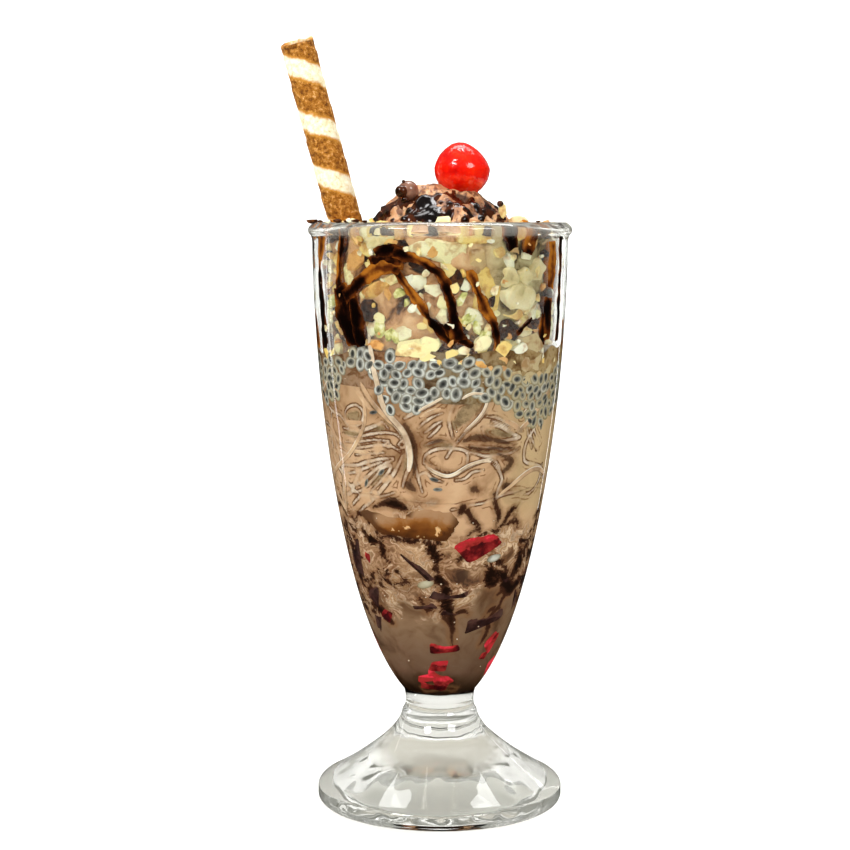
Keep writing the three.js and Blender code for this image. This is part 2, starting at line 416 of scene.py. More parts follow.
outline += [(cavity(z), z) for z in reversed(spread_heights(CAVITY_FLOOR, HEIGHT - LIP + 2, 60))]
print("the glass's outline:", len(outline), "points")

# %% Spin the glass and push in the flutes and the waviness of a pressed piece
FLUTES = 18
glass_mesh = turned(outline, 216)
mould_mark = glass_mesh.verts.layers.float.new("mould_mark")
for vert in glass_mesh.verts:
    radius = math.hypot(vert.co.x, vert.co.y)
    if radius < RECESS_RADIUS - 0.5 and vert.co.z < RECESS_DEPTH + 3 - radius / 4:
        vert[mould_mark] = max(0.0, min(1.0, (MOULD_MARK_RADIUS - radius) / 8))
        vert.co.z += 0.5 * noise.noise(vert.co / 7) * min(1, (RECESS_RADIUS - radius) / 5)
    if radius < 0.01:
        continue
    angle = math.atan2(vert.co.y, vert.co.x)
    wave = 0.07 * noise.noise(Vector((vert.co.x / 9, vert.co.y / 9, vert.co.z / 26)))
    if FOOT_EDGE - 0.1 < vert.co.z < COLLAR_HEIGHT and radius > COLLAR_RADIUS:
        reach = math.sin(math.pi * min((radius - COLLAR_RADIUS) / (FOOT_RADIUS - COLLAR_RADIUS), 1))
        ripple = noise.noise(Vector((3 * math.cos(angle), 3 * math.sin(angle), vert.co.z / 7)))
        wave += 0.14 * reach * math.cos(FLUTES * angle) + 0.45 * reach * ripple
    move_out(vert, wave)

# %% [markdown]
# Clear soda-lime glass bends light by an index of 1.52 and is faintly green through its thick
# edges. In a real glass the light gets in and lights the drink. Finding such paths through a
# refracting surface takes a renderer very long, so lamps and soft bounced light pass straight
# through here, and only what the eye sees is refracted. Low in the bowl the glass only bends
# light and mirrors none, and light that has bounced about in it many times ends in a painted
# soft grey, given off by the glass as if it were a lamp.

# %% Pressed soda-lime glass
GLASS_IOR = 1.52


def pressed_glass():
    finish, place = new_finish("pressed_soda_lime_glass")
    height = coordinate(place, "Z")
    tint = blend(above(height, 0.036, 0.046), "C8C9C5", "EDF0EC")
    glass = add("ShaderNodeBsdfPrincipled", {
        "Base Color": tint, "Roughness": 0.0, "IOR": GLASS_IOR, "Transmission Weight": 1.0,
        "Normal": relief(grain(place, 16, 1.0), 0.5, 0.35)}).outputs[0]
    bare = add("ShaderNodeBsdfRefraction", {"Color": tint, "Roughness": 0.0, "IOR": GLASS_IOR}).outputs[0]
    glass = cover(above(height, 0.036, 0.039) * below(height, 0.048, 0.058), glass, bare)
    worn = add("ShaderNodeBsdfDiffuse", {"Color": "CFC9BE"}, finish.node_tree).outputs[0]
    glass = cover(0.13 * above(height, 0.1905, 0.193), glass, worn)
    rough = add("ShaderNodeBsdfDiffuse", {"Color": "D8D4CA"}, finish.node_tree).outputs[0]
    glass = cover(0.85 * stored(finish, "mould_mark"), glass, rough)
    rays = add("ShaderNodeLightPath", tree=finish.node_tree).outputs
    clear = add("ShaderNodeBsdfTransparent", {"Color": "F1F1EE"}, finish.node_tree).outputs[0]
    glass = cover(rays["Is Shadow Ray"], glass, clear)
    glass = cover(rays["Is Diffuse Ray"], glass, clear)
    # rays that have bounced more than five times end in painted light: the glass gives off a soft grey
    lost = worked_out("GREATER_THAN", rays["Ray Depth"], 5.5)
    painted_grey_glow = add("ShaderNodeEmission", {"Color": "B4B4AC"}, finish.node_tree).outputs[0]
    return close(finish, cover(lost, glass, painted_grey_glow))


piece("soda_glass", glass_mesh, pressed_glass(), ["glass"])

# %% [markdown]
# ## Chocolate milk
# The bottom third is milk stirred with chocolate: taupe and nearly even at the very bottom, and
# marbled with dark brown threads higher up, where the syrup has run down into it. Height
# decides how dark the milk is, and a noise whose position is itself pushed about by a noise
# makes the marbling, as in poured liquids. Threads and folds that have a place of their own are
# painted: how far each point lies inside the nearest line is stored on the mesh, and the finish
# makes the line's edge ragged.

# %% Paint lines on a piece
def smooth(stops):
    """More stops along a line, on a curve through those given."""
    ends = [stops[0], *stops, stops[-1]]
    line = [stops[0]]
    for before, first, second, after in zip(ends, ends[1:], ends[2:], ends[3:]):
        for share in (1 / 3, 2 / 3, 1):
            stop = []
            for a, b, c, d in zip(before, first, second, after):
                bend = (2 * a - 5 * b + 4 * c - d) * share ** 2 + (3 * b - a - 3 * c + d) * share ** 3
                stop.append(b + 0.5 * ((c - a) * share + bend))
            line.append(stop)
    return line


def paint(bm, name, lines):
    """Stores how many millimetres each point lies inside the nearest line, or below 0 outside."""
    spots = np.array([vert.co for vert in bm.verts])
    azimuths = np.degrees(np.arctan2(spots[:, 0], -spots[:, 1]))
    radii = np.hypot(spots[:, 0], spots[:, 1])
    inside = np.full(len(spots), -6.0)
    for line in map(smooth, lines):
        for (azimuth, height, width), (next_azimuth, next_height, next_width) in zip(line, line[1:]):
            across = np.radians((azimuths - azimuth + 180) % 360 - 180) * radii
            up = spots[:, 2] - height
            run = np.radians(next_azimuth - azimuth) * radii
            climb = next_height - height
            share = np.clip((across * run + up * climb) / (run ** 2 + climb ** 2 + 1e-6), 0, 1)
            gap = np.hypot(across - share * run, up - share * climb)
            inside = np.maximum(inside, width + (next_width - width) * share - gap)
    layer_of_paint = bm.verts.layers.float.new(name)
    for vert, value in zip(bm.verts, inside):
        vert[layer_of_paint] = value


# %% Chocolate that has not dissolved
# lines of azimuth, height and half width
CHOCOLATE = [
    [(12, 127, 0.7), (19, 128, 1.4), (31, 126.3, 0.8), (41, 125, 0.4)],
    [(13, 125.2, 0.5), (21, 123.8, 0.9), (32, 124, 0.7), (44, 123, 0.4)],
    [(30, 122.3, 0.5), (40, 119.5, 1.4), (35, 116, 0.6)], [(-17, 112.3, 1.7), (-15, 111, 1)],
    [(-18, 132, 0.9), (-15, 128, 1.6), (-13, 122, 1.2), (-14, 117, 0.8), (-18, 112, 0.6)],
    [(-42, 104, 0.5), (-34, 105.5, 1.3), (-26, 106, 2.4), (-20, 104, 0.8)],
    [(-7, 126, 0.4), (0, 127, 0.7), (5, 126.7, 0.3)], [(18, 111, 1.2), (21, 110, 0.8)],
    [(13, 104.7, 1.6), (11, 103, 1)], [(38, 111, 1.6), (44, 111.5, 0.8)],
    [(31, 109, 0.8), (33, 104.5, 1.1), (36, 102, 1.3), (35, 98, 0.6)],
    [(-8, 121, 0.4), (-1, 117.6, 0.5), (8, 116.6, 0.6), (15, 119.5, 0.3)],
    [(6, 137, 0.3), (10, 140, 0.4), (17, 141, 0.4), (22, 138, 0.4), (14, 131, 0.4), (8, 126, 0.3)],
    [(-54, 96, 1), (-49, 93, 1.7), (-41, 92.4, 1.5), (-40, 88.7, 1.5), (-38, 85, 0.8)],
    [(-40, 95.5, 0.6), (-26, 94, 1), (-15, 93.6, 1.1), (-2, 93, 0.9)],
    [(-7, 92.5, 1.5), (-3, 88.7, 1.9), (-2, 85, 1.3), (-1, 81.6, 1.3), (3, 78, 1.7), (5, 75, 2),
     (7, 69, 2.2), (12, 64.5, 1.1), (13, 60, 0.8), (16, 56, 0.3)],
    [(-33, 83.5, 0.5), (-27, 80.5, 0.7), (-20, 78, 0.5)],
    [(-47, 80, 0.9), (-40, 78.3, 1.2), (-29, 77.7, 0.8)],
    [(46, 82, 1.8), (58, 78, 2.8), (70, 75, 2.4), (81, 78, 2), (105, 78, 1.6)],
    [(80, 86, 2), (98, 85, 2), (107, 77, 1.6)], [(85, 73, 0.8), (110, 66, 0.5)],
    [(15, 104, 1), (20, 100, 1.1), (24, 97.4, 0.9), (18, 96.3, 0.7), (18, 91, 0.8), (12, 87.5, 0.6)],
    [(34, 96, 0.6), (40, 98.3, 1), (43, 101.3, 1.1), (48, 104, 0.8)],
    [(43, 103, 0.5), (50, 99.8, 0.7), (52, 97, 0.4)], [(60, 92, 0.8), (79, 90.7, 1.2), (94, 90.5, 0.9)],
    [(-11, 70, 1.4), (-17, 73.5, 1)], [(34, 85, 1), (38, 82, 2.2), (42, 79, 2.6), (48, 79.5, 1.8)],
    [(62, 89, 1.4), (66, 85, 2.4), (67, 80, 1.8)], [(13, 68.5, 0.6), (20, 69.5, 1), (27, 68.2, 0.6)],
    [(-70, 70, 1.6), (-62, 68, 2.4), (-54, 65, 1.6)], [(-34, 41, 0.4), (0, 42, 0.6), (33, 41, 0.4)],
    [(-76, 98, 1.2), (-74, 88, 1.6), (-77, 77, 1.3)]]
paint_rng = random.Random(13)
for _ in range(70):
    azimuth, height = paint_rng.uniform(55, 305), paint_rng.uniform(68, 106)
    heading = paint_rng.uniform(0, math.tau)
    line = []
    for _ in range(paint_rng.randint(3, 6)):
        line.append((azimuth, height, paint_rng.uniform(0.2, 1.2)))
        heading += paint_rng.gauss(0, 0.7)
        azimuth += math.degrees(4 * math.cos(heading) / cavity(height))
        height += 3.5 * math.sin(heading)
    CHOCOLATE.append(line)
print("threads of chocolate:", len(CHOCOLATE))

# %% Pale edges of folded noodles, painted as highlights
# half width, then azimuth and height of each stop
FOLDS = [
    (0.5, [(-30, 140), (-26, 135), (-21, 131.5), (-17, 127), (-15, 123), (-16, 119), (-19, 115),
     (-21, 111.5)]),
    (0.35, [(-42, 144), (-38, 139.5), (-33, 137), (-28, 134), (-22, 130.5), (-19, 128), (-18, 125),
     (-18, 121)]), (0.8, [(-18, 134), (-12, 136.5), (-5, 139), (0, 141), (5, 142)]),
    (0.45, [(3, 121.5), (7, 125.5), (13, 130), (19, 133.5), (23, 137), (24, 140), (21, 141.5), (16, 142),
     (11, 140.5), (7, 139), (5, 136.5), (4, 133.5), (5, 130.5), (6, 128)]),
    (0.5, [(-8, 119.5), (-6, 118), (-1, 116.5), (3, 115.5), (8, 116), (13, 118), (19, 119.5),
     (25, 120.5), (29, 120), (33, 117.5)]),
    (0.4, [(21, 131), (25, 131.5), (31, 131), (37, 129), (44, 127), (37, 126.5), (29, 126.5), (23, 128),
     (21, 131)]), (0.35, [(23, 134.5), (29, 134), (35, 132), (40, 130)]),
    (0.3, [(26, 133), (32, 131.6), (38, 129.6)]),
    (0.4, [(13, 123.5), (19, 122.5), (25, 121.5), (31, 122), (38, 122), (45, 123.5)]),
    (0.3, [(15, 125.2), (22, 124.6), (30, 124), (38, 123.2)]), (0.25, [(52, 129), (54, 126), (60, 122)]),
    (0.25, [(52, 132), (57, 127.5), (62, 124.5)]), (0.25, [(49, 130), (51, 127), (55, 123)]),
    (0.45, [(-58, 129.5), (-51, 129), (-45, 129), (-40, 130), (-33, 131.5), (-30, 132.5), (-27, 130.5)]),
    (0.3, [(-59, 127.5), (-49, 127), (-40, 128), (-32, 129), (-24, 129), (-20, 127)]),
    (0.35, [(-51, 123), (-42, 124), (-32, 125), (-25, 124.5), (-21, 123.2)]),
    (0.25, [(-58, 125), (-47, 125.5), (-36, 126.5), (-27, 126.5)]),
    (0.3, [(-50, 121), (-40, 121.8), (-30, 122.6)]),
    (0.4, [(-71, 116.5), (-60, 117), (-50, 117.5), (-42, 119), (-32, 120.5), (-25, 121)]),
    (0.35, [(-66, 113.5), (-58, 114.4), (-50, 115.5), (-41, 117.5), (-32, 119.5)]),
    (0.4, [(-65, 110), (-57, 110.5), (-50, 111.5), (-43, 114), (-36, 117), (-30, 119), (-25, 120.5)]),
    (0.4, [(-61, 108), (-50, 109), (-43, 111.5), (-36, 115), (-32, 117.5), (-27, 118.5), (-29, 116),
     (-35, 112.5), (-41, 109.5)]),
    (0.5, [(-56, 101), (-48, 104), (-41, 106.5), (-32, 111.5), (-26, 115.5), (-22, 119.5), (-20, 122)]),
    (0.35, [(-62, 103), (-51, 107), (-44, 108.5), (-37, 109.4)]),
    (0.3, [(-69, 122), (-62, 121.5), (-55, 120.5)]),
    (0.3, [(-55, 134.5), (-52, 136.5), (-46, 137.5), (-42, 136), (-42, 133.5), (-45, 131), (-51, 130.5),
     (-55, 132), (-55, 134.5)]), (0.25, [(-29, 125), (-28, 126), (-26, 125), (-28, 124.3), (-29, 125)]),
    (0.3, [(-22, 125.5), (-20, 126.7), (-18, 125.5), (-20, 124.3), (-22, 125.5)]),
    (0.3, [(-8, 129.5), (-5, 131), (-2, 132.5), (1, 133.5)]), (0.3, [(-6, 128), (-3, 129.8), (0, 132)]),
    (0.25, [(-11, 131), (-8, 133), (-4, 134.6), (1, 136)]),
    (0.3, [(8, 114), (13, 114.5), (17, 116.5), (23, 117)]),
    (0.35, [(-9, 119.5), (-8, 122), (-5, 123.5), (0, 124.5), (6, 124.5), (13, 123.5), (14, 120.5),
     (13, 118)]), (0.3, [(-8, 125.5), (-4, 126.5), (1, 127), (5, 125.5)]),
    (0.3, [(-13, 115), (-8, 116.5), (-4, 114.5), (1, 113.5)]),
    (0.4, [(28, 119), (32, 117), (35, 113.5), (33, 110), (32, 105.5)]),
    (0.3, [(-14, 121), (-12, 115), (-10, 110)])]
fold_rng = random.Random(19)
for _ in range(70):
    azimuth, height = fold_rng.uniform(68, 292), fold_rng.uniform(106, 142)
    heading = fold_rng.choice((0, math.pi)) + fold_rng.gauss(0, 0.5)
    fold = []
    for _ in range(fold_rng.randint(4, 9)):
        fold.append((azimuth, height))
        heading += fold_rng.gauss(0, 0.5)
        azimuth += math.degrees(6 * math.cos(heading) / cavity(height))
        height = min(max(height + 6 * math.sin(heading), 104), 144)
    FOLDS.append((fold_rng.uniform(0.25, 0.5), fold))


def drawn_out(width, fold):
    """Gives each stop its half width, thin at both ends of the line."""
    last = len(fold) - 1
    return [(azimuth, height, width * (0.35 + 0.65 * math.sin(math.pi * i / last)))
            for i, (azimuth, height) in enumerate(fold)]


PALE_EDGES = [drawn_out(width, fold) for width, fold in FOLDS]
# places where a clear noodle shows the darker drink behind it: azimuth, height and half width
CLEAR_FILM = [
    [(7, 131.5, 1), (12, 135.5, 2.4), (17, 138.4, 2.4), (21, 139, 1.4)],
    [(-8, 125.4, 0.6), (-2, 125.8, 1.2), (5, 125.4, 0.8)],
    [(-40, 112, 0.8), (-35, 115, 1.3), (-31, 117, 0.8)], [(-52, 133.6, 1.2), (-46, 134, 1.8)],
    [(-57, 128, 0.8), (-46, 127.6, 1), (-36, 130, 1), (-30, 130.4, 0.8)],
    [(24, 129.4, 1), (32, 128.8, 1.4), (40, 127.6, 0.8)],
    [(-28, 133.4, 0.6), (-20, 129, 0.8), (-17, 123, 0.8), (-19, 116, 0.6)],
    [(16, 124, 0.8), (28, 123, 0.9), (40, 123, 0.6)]]
print("folds:", len(PALE_EDGES), "clear films:", len(CLEAR_FILM))


# %% Finishes with depth
def body(finish, colour, roughness, sockets, scatter=0.0, depths=(0, 0, 0)):
    """Closes a finish. A share of the light scatters in it, to a depth in millimetres for each colour."""
    surface = add("ShaderNodeBsdfPrincipled", {
        "Base Color": colour, "Roughness": roughness, "Subsurface Weight": scatter,
        "Subsurface Radius": [depth * MM for depth in depths], **sockets})
    return close(finish, surface.outputs[0])


def wet_skin(finish, colour, depth=2):
    """Closes a finish as milk that wets the glass, which has no shine of its own there."""
    return body(finish, colour, 0.6, {"Specular IOR Level": 0.0}, 0.06, (depth, 0.6 * depth, 0.4 * depth))


# %% Marbled milk
def marbled_milk():
    """Smooth milk gets paler with height. It has curdled in the middle, and is dark where it was painted."""
    finish, place = new_finish("milk_marbled_with_chocolate")
    height = coordinate(place, "Z")
    flow = swirl(swirl(place, 20, 18), 7, 5)
    cloud = grain(flow, 15, 4.0)
    side = coordinate(flow, "X")
    right = above(side, 0.004, 0.014)
    # the darkest stops, in the lowest two millimetres of the round bottom, are painted shade
    colour = ramp(above(height, 0.038, 0.150), (0.0, "22150D"), (0.003, "38271B"), (0.008, "4E392B"),
                  (0.02, "6A5040"), (0.045, "745A48"), (0.12, "8B7059"), (0.25, "96785E"),
                  (0.42, "BA9470"), (0.6, "D0A984"), (0.85, "D6B28E"), (1.0, "C09C78"))
    shade = ramp(cloud, (0.36, "AA9A8C"), (0.5, "F0EAE4"), (0.62, "FFFFFF"))
    colour = blend(1.0, colour, shade, "MULTIPLY")
    colour = blend(0.2 * right * below(height, 0.076, 0.088), colour, "3C2516")
    curd = ramp(grain(flow, 12, 7.0, 0.56), (0.30, "2A1810"), (0.37, "583A28"), (0.41, "906C50"),
                (0.435, "E8CBAA"), (0.46, "98724F"), (0.485, "C29B78"), (0.505, "F2D6B4"),
                (0.53, "A87F62"), (0.555, "664430"), (0.58, "C09978"), (0.61, "76523A"), (0.66, "34201A"))
    loose = height + 0.05 * cloud
    curdled = above(loose - 0.009 * right, 0.090, 0.098) * below(loose, 0.120, 0.129)
    patches = 0.45 * above(grain(place, 17, 2.0), 0.42, 0.54) + 0.45
    colour = blend(curdled * patches, colour, curd)
    colour = blend(0.75 * above(side, 0.014, 0.030) * above(height, 0.092, 0.106), colour, "CBAF83")
    thread = below(abs(grain(flow, 12, 4.0, 0.5) - 0.5), 0.0, 0.02)
    colour = blend(0.6 * thread * curdled, colour, "5A3A24")
    shift = grain(flow, 2.6, 7.0, 0.7) - 0.5
    film = above(stored(finish, "film") + 2.5 * shift, -0.6, 0.5)
    streaks = ramp(grain(flow, 3, 6.0, 0.7), (0.4, "5E4C36"), (0.55, "96805F"))
    colour = blend(0.85 * film, colour, streaks)
    fold = stored(finish, "fold") + 0.9 * shift
    patchy = grain(place, 5, 4.0)
    # painted shade: a dark line a little way out from each fold's edge, and another right beside it
    outer_painted_shade = above(fold, -1.9, -1.6) * below(fold, -1.5, -1.2) * below(patchy, 0.44, 0.52)
    colour = blend(0.8 * outer_painted_shade, colour, "74492E")
    colour = blend(0.95 * above(fold, -0.8, -0.4) * above(patchy, 0.39, 0.56), colour, "5E3822")
    # painted highlight: the pale edge of each fold, where light runs along the noodle
    broken = 0.65 * above(patchy, 0.4, 0.58) + 0.25
    milky = ramp(cloud, (0.4, "C9A98A"), (0.5, "E8D6BE"), (0.6, "D2B494"))
    colour = blend(above(fold, -0.3, 0.15) * broken, colour, milky)
    depth = stored(finish, "chocolate") + shift * (7 * curdled + 3)
    colour = blend(0.55 * above(depth, -1.6, 0.0), colour, "7E5638")
    thin = -0.2 * above(height, 0.104, 0.112) + 1.0
    colour = blend(above(depth, -0.1, 0.6) * thin, colour, "3C2216")
    colour = blend(above(depth, 0.8, 1.8) * thin, colour, "1B0E08")
    return wet_skin(finish, colour)


def marbled_layer(name, slot, replaced, *shape):
    """A layer of milk with its chocolate, folds and clear noodles painted on."""
    bm = layer(*shape)
    paint(bm, "chocolate", CHOCOLATE)
    paint(bm, "fold", PALE_EDGES)
    paint(bm, "film", CLEAR_FILM)
    piece(name, bm, milk, [replaced])


def milk_floor(x, y):
    """The milk reaches just into the glass at the bottom."""
    return CAVITY_FLOOR - 0.15


milk = marbled_milk()
marbled_layer("chocolate_milk_body", "chocolate_milk", "chocolate_milk",
              milk_floor, milk_top, 0.10, 110, 240, 1.5)

# %% [markdown]
# ## Jelly and other things sunk in the milk
# Cubes of red jelly lie in the milk, some of them seen through a film of it, so that they look
# maroon. Each is a bevelled cube, squeezed out of square, turned, and pressed on the glass. A
# larger lobe of brown jelly lies higher up. Thin dark bars are pieces of chocolate.

# %% Cubes and bars
# azimuth, height, turn, width, height, thickness, and tint from 0 for maroon to 1 for bright red
RED_JELLY = [
    (29, 92, 30, 14, 7.5, 8, 0.2), (76, 58.5, 62, 9, 5, 6, 0.6), (1, 56.5, 14, 9, 4.4, 4, -0.1),
    (-2, 50, 10, 5, 3.6, 4, 0.35), (-4, 47, -6, 5.5, 3, 4, 0.75), (-22, 45.5, 14, 6, 3, 3, 0.7),
    (6, 44.3, 20, 5, 3.4, 3, 0.3), (-10, 42.6, -4, 7, 3, 3, 0.1), (70, 54, 70, 5, 2.4, 3, 0.1),
    (-54, 68, 50, 6, 3.4, 4, -0.4), (-56, 88, 66, 5, 2.5, 3, 0.2), (150, 72, 20, 14, 9, 8, 0.6),
    (-140, 58, -30, 12, 7, 7, 0.5), (-105, 86, 15, 14, 9, 8, 0.4), (118, 50, 35, 8, 5, 6, 0.9),
    (185, 52, 0, 9, 5, 5, 0.6), (-170, 92, 40, 13, 9, 7, 0.5)]
DARK_BITS = [
    (50, 65.5, 12, 10, 3.4, 3, 0.5), (52, 81, 70, 7, 7, 5, 0.2), (9, 76.6, -10, 10, 8, 4, 0.4),
    (-20, 86, -42, 11, 2.2, 3, 0.3), (-72, 88, 72, 11, 5, 4, 0.4), (-60, 75, 40, 9, 5, 4, 0.6),
    (82, 73, -60, 8, 2.5, 3, 0.3), (-13, 71, 5, 5, 2.2, 3, 0.5), (15, 69, 0, 6, 1.8, 3, 0.4),
    (-74, 66, 60, 8, 3, 4, 0.5), (100, 80, 30, 14, 7, 5, 0.5), (140, 90, -20, 12, 5, 4, 0.5),
    (170, 78, 60, 12, 6, 4, 0.4), (-120, 72, 25, 13, 5, 4, 0.4), (-150, 84, -40, 10, 6, 4, 0.4)]


def blank(*names):
    """An empty bmesh whose points carry numbers with these names."""
    bm = bmesh.new()
    for name in names:
        bm.verts.layers.float.new(name)
    return bm


def stretch(*size):
    """Scales a shape 1 mm wide to a size along X, Y and Z."""
    return Matrix.Diagonal((*size, 1))


def merge(bm, part, matrix, reach=None):
    """Adds a bmesh as a copied mesh is added, and returns its points."""
    mesh = as_mesh(part)
    verts = paste(bm, mesh, matrix, reach)
    bpy.data.meshes.remove(mesh)
    return verts


def tinted(bm, verts, tint):
    """Stores a tint on some points."""
    tints = bm.verts.layers.float["tint"]
    for vert in verts:
        vert[tints] = tint


def blocks(rows, seed, reach, skew, bevel):
    """Bevelled blocks on the wall, with pushed-about corners, and faces fine enough to bend there."""
    rng = random.Random(seed)
    bm = blank("tint", "up")
    for azimuth, height, turn, wide, tall, thick, tint in rows:
        block = bmesh.new()
        bmesh.ops.create_cube(block, size=1)
        for vert in block.verts:
            vert.co += Vector([rng.uniform(-skew, skew) for _ in range(3)])
        bmesh.ops.bevel(block, geom=block.edges[:], offset=bevel, offset_type="OFFSET", segments=2,
                        profile=0.5, affect="EDGES", material=-1)
        bmesh.ops.subdivide_edges(block, edges=block.edges[:], cuts=4, use_grid_fill=True)
        # the up number lets the finish paint the upper part of a block lighter, as if lit from above
        up = block.verts.layers.float.new("up")
        for vert in block.verts:
            vert[up] = vert.co.y + 0.4 * vert.co.x
        spot = at_wall(azimuth, height, thick * 0.4, turn)
        tinted(bm, merge(bm, block, spot @ stretch(wide, tall, thick), reach), tint)
    return bm


def jelly(name, size, *stops):
    """Set jelly is clear: bright at thin edges and deep in the middle."""
    finish, place = new_finish(name)
    cloud = grain(place, size)
    # painted light: the upper part of each block is lighter, as if lit from above
    painted_lit_top = above(stored(finish, "up") + 0.8 * cloud, 0.42, 0.48)
    streak = grain(place, size * 0.3, 5.0, 0.7) - 0.5
    depth = cloud + 0.3 * stored(finish, "tint") + 0.2 * painted_lit_top + 0.4 * streak
    return body(finish, ramp(depth, *stops), 0.3, {"Specular IOR Level": 0.0}, 0.3, (3, 0.6, 0.5))


red_jelly = jelly("set_red_jelly", 4, (0.38, "360E10"), (0.50, "561214"), (0.60, "7E1E20"),
                  (0.72, "A2322E"), (0.84, "BC2A34"), (0.98, "E83A4C"))
piece("red_jelly_cubes", blocks(RED_JELLY, 3, 0.34, 0.22, 0.14), red_jelly)
plum = jelly("dark_chocolate_in_milk", 6, (0.4, "150A07"), (0.6, "2C1917"), (0.8, "4E342E"))
piece("chocolate_pieces", blocks(DARK_BITS, 4, 0.26, 0.4, 0.12), plum)


# %% The brown jelly lobe
def icosphere(detail, radius=1.0):
    bm = bmesh.new()
    bmesh.ops.create_icosphere(bm, subdivisions=detail, radius=radius)
    return bm


def lobe(bm, place, size, rng, lump, detail, reach=None):
    """Adds a rounded lump."""
    ball = icosphere(detail, 0.5)
    shift = Vector([rng.uniform(0, 50) for _ in range(3)])
    for vert in ball.verts:
        vert.co *= 1 + lump * noise.noise(vert.co * 3.2 + shift)
    merge(bm, ball, place @ stretch(*size), reach)


# azimuth, height, turn, width and height
LOBES = [(-21, 98.6, -9, 31, 9.5), (-5, 101, 4, 19, 14), (160, 98, 15, 26, 14)]
lobe_rng = random.Random(5)
lobe_mesh = blank("edge")
lobe_spots = []
for azimuth, height, turn, wide, tall in LOBES:
    spot = at_wall(azimuth, height, 3, turn)
    lobe(lobe_mesh, spot, (wide, tall, 9), lobe_rng, 0.24, 3)
    lobe_spots.append(stretch(2 / wide, 2 / tall, 0.1) @ spot.inverted())
from_edge = lobe_mesh.verts.layers.float["edge"]
for vert in lobe_mesh.verts:
    vert[from_edge] = min((spot @ vert.co).length for spot in lobe_spots)
press(lobe_mesh.verts, 0.3)


def brown_jelly():
    """Amber where the jelly is thin at its lower edge, and milky above."""
    finish, place = new_finish("set_brown_jelly")
    level = coordinate(place, "Z") + 0.02 * grain(swirl(place, 10, 8), 12, 4.0, 0.6)
    colour = ramp(above(level, 0.100, 0.120), (0.0, "44240F"), (0.2, "70401A"), (0.36, "8C5628"),
                  (0.5, "9A6A40"), (0.65, "A67E5C"), (1.0, "B28C6A"))
    # painted highlights: pale sparkles low on the lobe
    painted_glint = above(grain(swirl(place, 3, 2), 3.2, 3.0, 0.6), 0.6, 0.64)
    colour = blend(below(level, 0.107, 0.1085) * painted_glint, colour, "E2B47C")
    # painted shade: the rounded edge of each lobe is darkened
    rim = above(stored(finish, "edge"), 0.72, 0.9)
    return wet_skin(finish, blend(0.85 * rim, colour, "4A2A16"))


piece("brown_jelly", lobe_mesh, brown_jelly())

# %% [markdown]
# ## Noodles in milk
# Falooda noodles are strands of cornflour paste, about 2 mm thick and half clear. In milk they
# show as tangled ribbons: a beige middle, a pale line on each side where light runs along the
# strand, and a dark gap beside it. A mesh made from smooth curves gives the strands. How far
# each point of a strand looks out through the glass is stored on the mesh, and the finish turns
# it into those lines. The strands at the front are listed one by one, and the others wander about.
# The pale line is a painted highlight, and the dark gap beside it painted shade.

# %% Strands
def tubes(paths, rings):
    """A mesh of round tubes. A path is a list of (point, radius)."""
    data = bpy.data.curves.new("tubes", "CURVE")
    data.dimensions = "3D"
    data.bevel_depth = 1
    data.bevel_resolution = rings
    data.use_fill_caps = True
    for path in paths:
        spline = data.splines.new("NURBS")
        spline.points.add(len(path) - 1)
        for point, (place, radius) in zip(spline.points, path):
            point.co = (*place, 1)
            point.radius = radius
        spline.order_u = 4
        spline.use_endpoint_u = True
        spline.resolution_u = 6
    holder = bpy.data.objects.new("tubes", data)
    mesh = bpy.data.meshes.new_from_object(holder)
    bm = bmesh.new()
    bm.from_mesh(mesh)
    bpy.data.objects.remove(holder)
    bpy.data.curves.remove(data)
    bpy.data.meshes.remove(mesh)
    bmesh.ops.remove_doubles(bm, verts=bm.verts, dist=1e-4)
    return bm


def mark_side(bm):
    """Stores how much each point faces sideways, 0 to 1, and how much it faces up and left, -1 to 1."""
    side = bm.verts.layers.float.new("side")
    lit = bm.verts.layers.float.new("lit")
    bm.normal_update()
    for vert in bm.verts:
        out = Vector((vert.co.x, vert.co.y, 0)).normalized()
        along = Vector((-out.y, out.x, 0))
        facing = max(vert.normal.dot(out), 0)
        vert[side] = math.sqrt(max(1 - facing * facing, 0))
        vert[lit] = 0.85 * vert.normal.z - 0.5 * vert.normal.dot(along)
    return bm


def on_wall(stops, radius, lift=0.0):
    """Points along the wall. Both ends thin out and sink in, so that they vanish in the milk."""
    path = []
    for index, (azimuth, height, *depth) in enumerate(stops):
        last = index in (0, len(stops) - 1)
        sink = (depth[0] if depth else -0.12) - lift + (1.5 if last else 0)
        path.append((at_wall(azimuth, height, sink).translation, radius * (0.45 if last else 1)))
    return path


def wander(rng):
    """A strand at the back that lies along the wall and drifts, as noodles do in milk."""
    step = 6
    bend = 0
    azimuth, height = rng.uniform(104, 256), rng.uniform(104, 142)
    heading = rng.choice((0, math.pi)) + rng.gauss(0, 0.5)
    stops = []
    for _ in range(int(rng.uniform(30, 80) / step)):
        stops.append((azimuth, height, rng.uniform(-0.1, 0.5)))
        bend = 0.55 * bend + rng.gauss(0, 0.3)
        heading += bend
        if not 103 <= height <= 142:
            heading = -heading
            bend = 0
        azimuth += math.degrees(step * math.cos(heading) / cavity(height))
        height += step * math.sin(heading)
    return stops


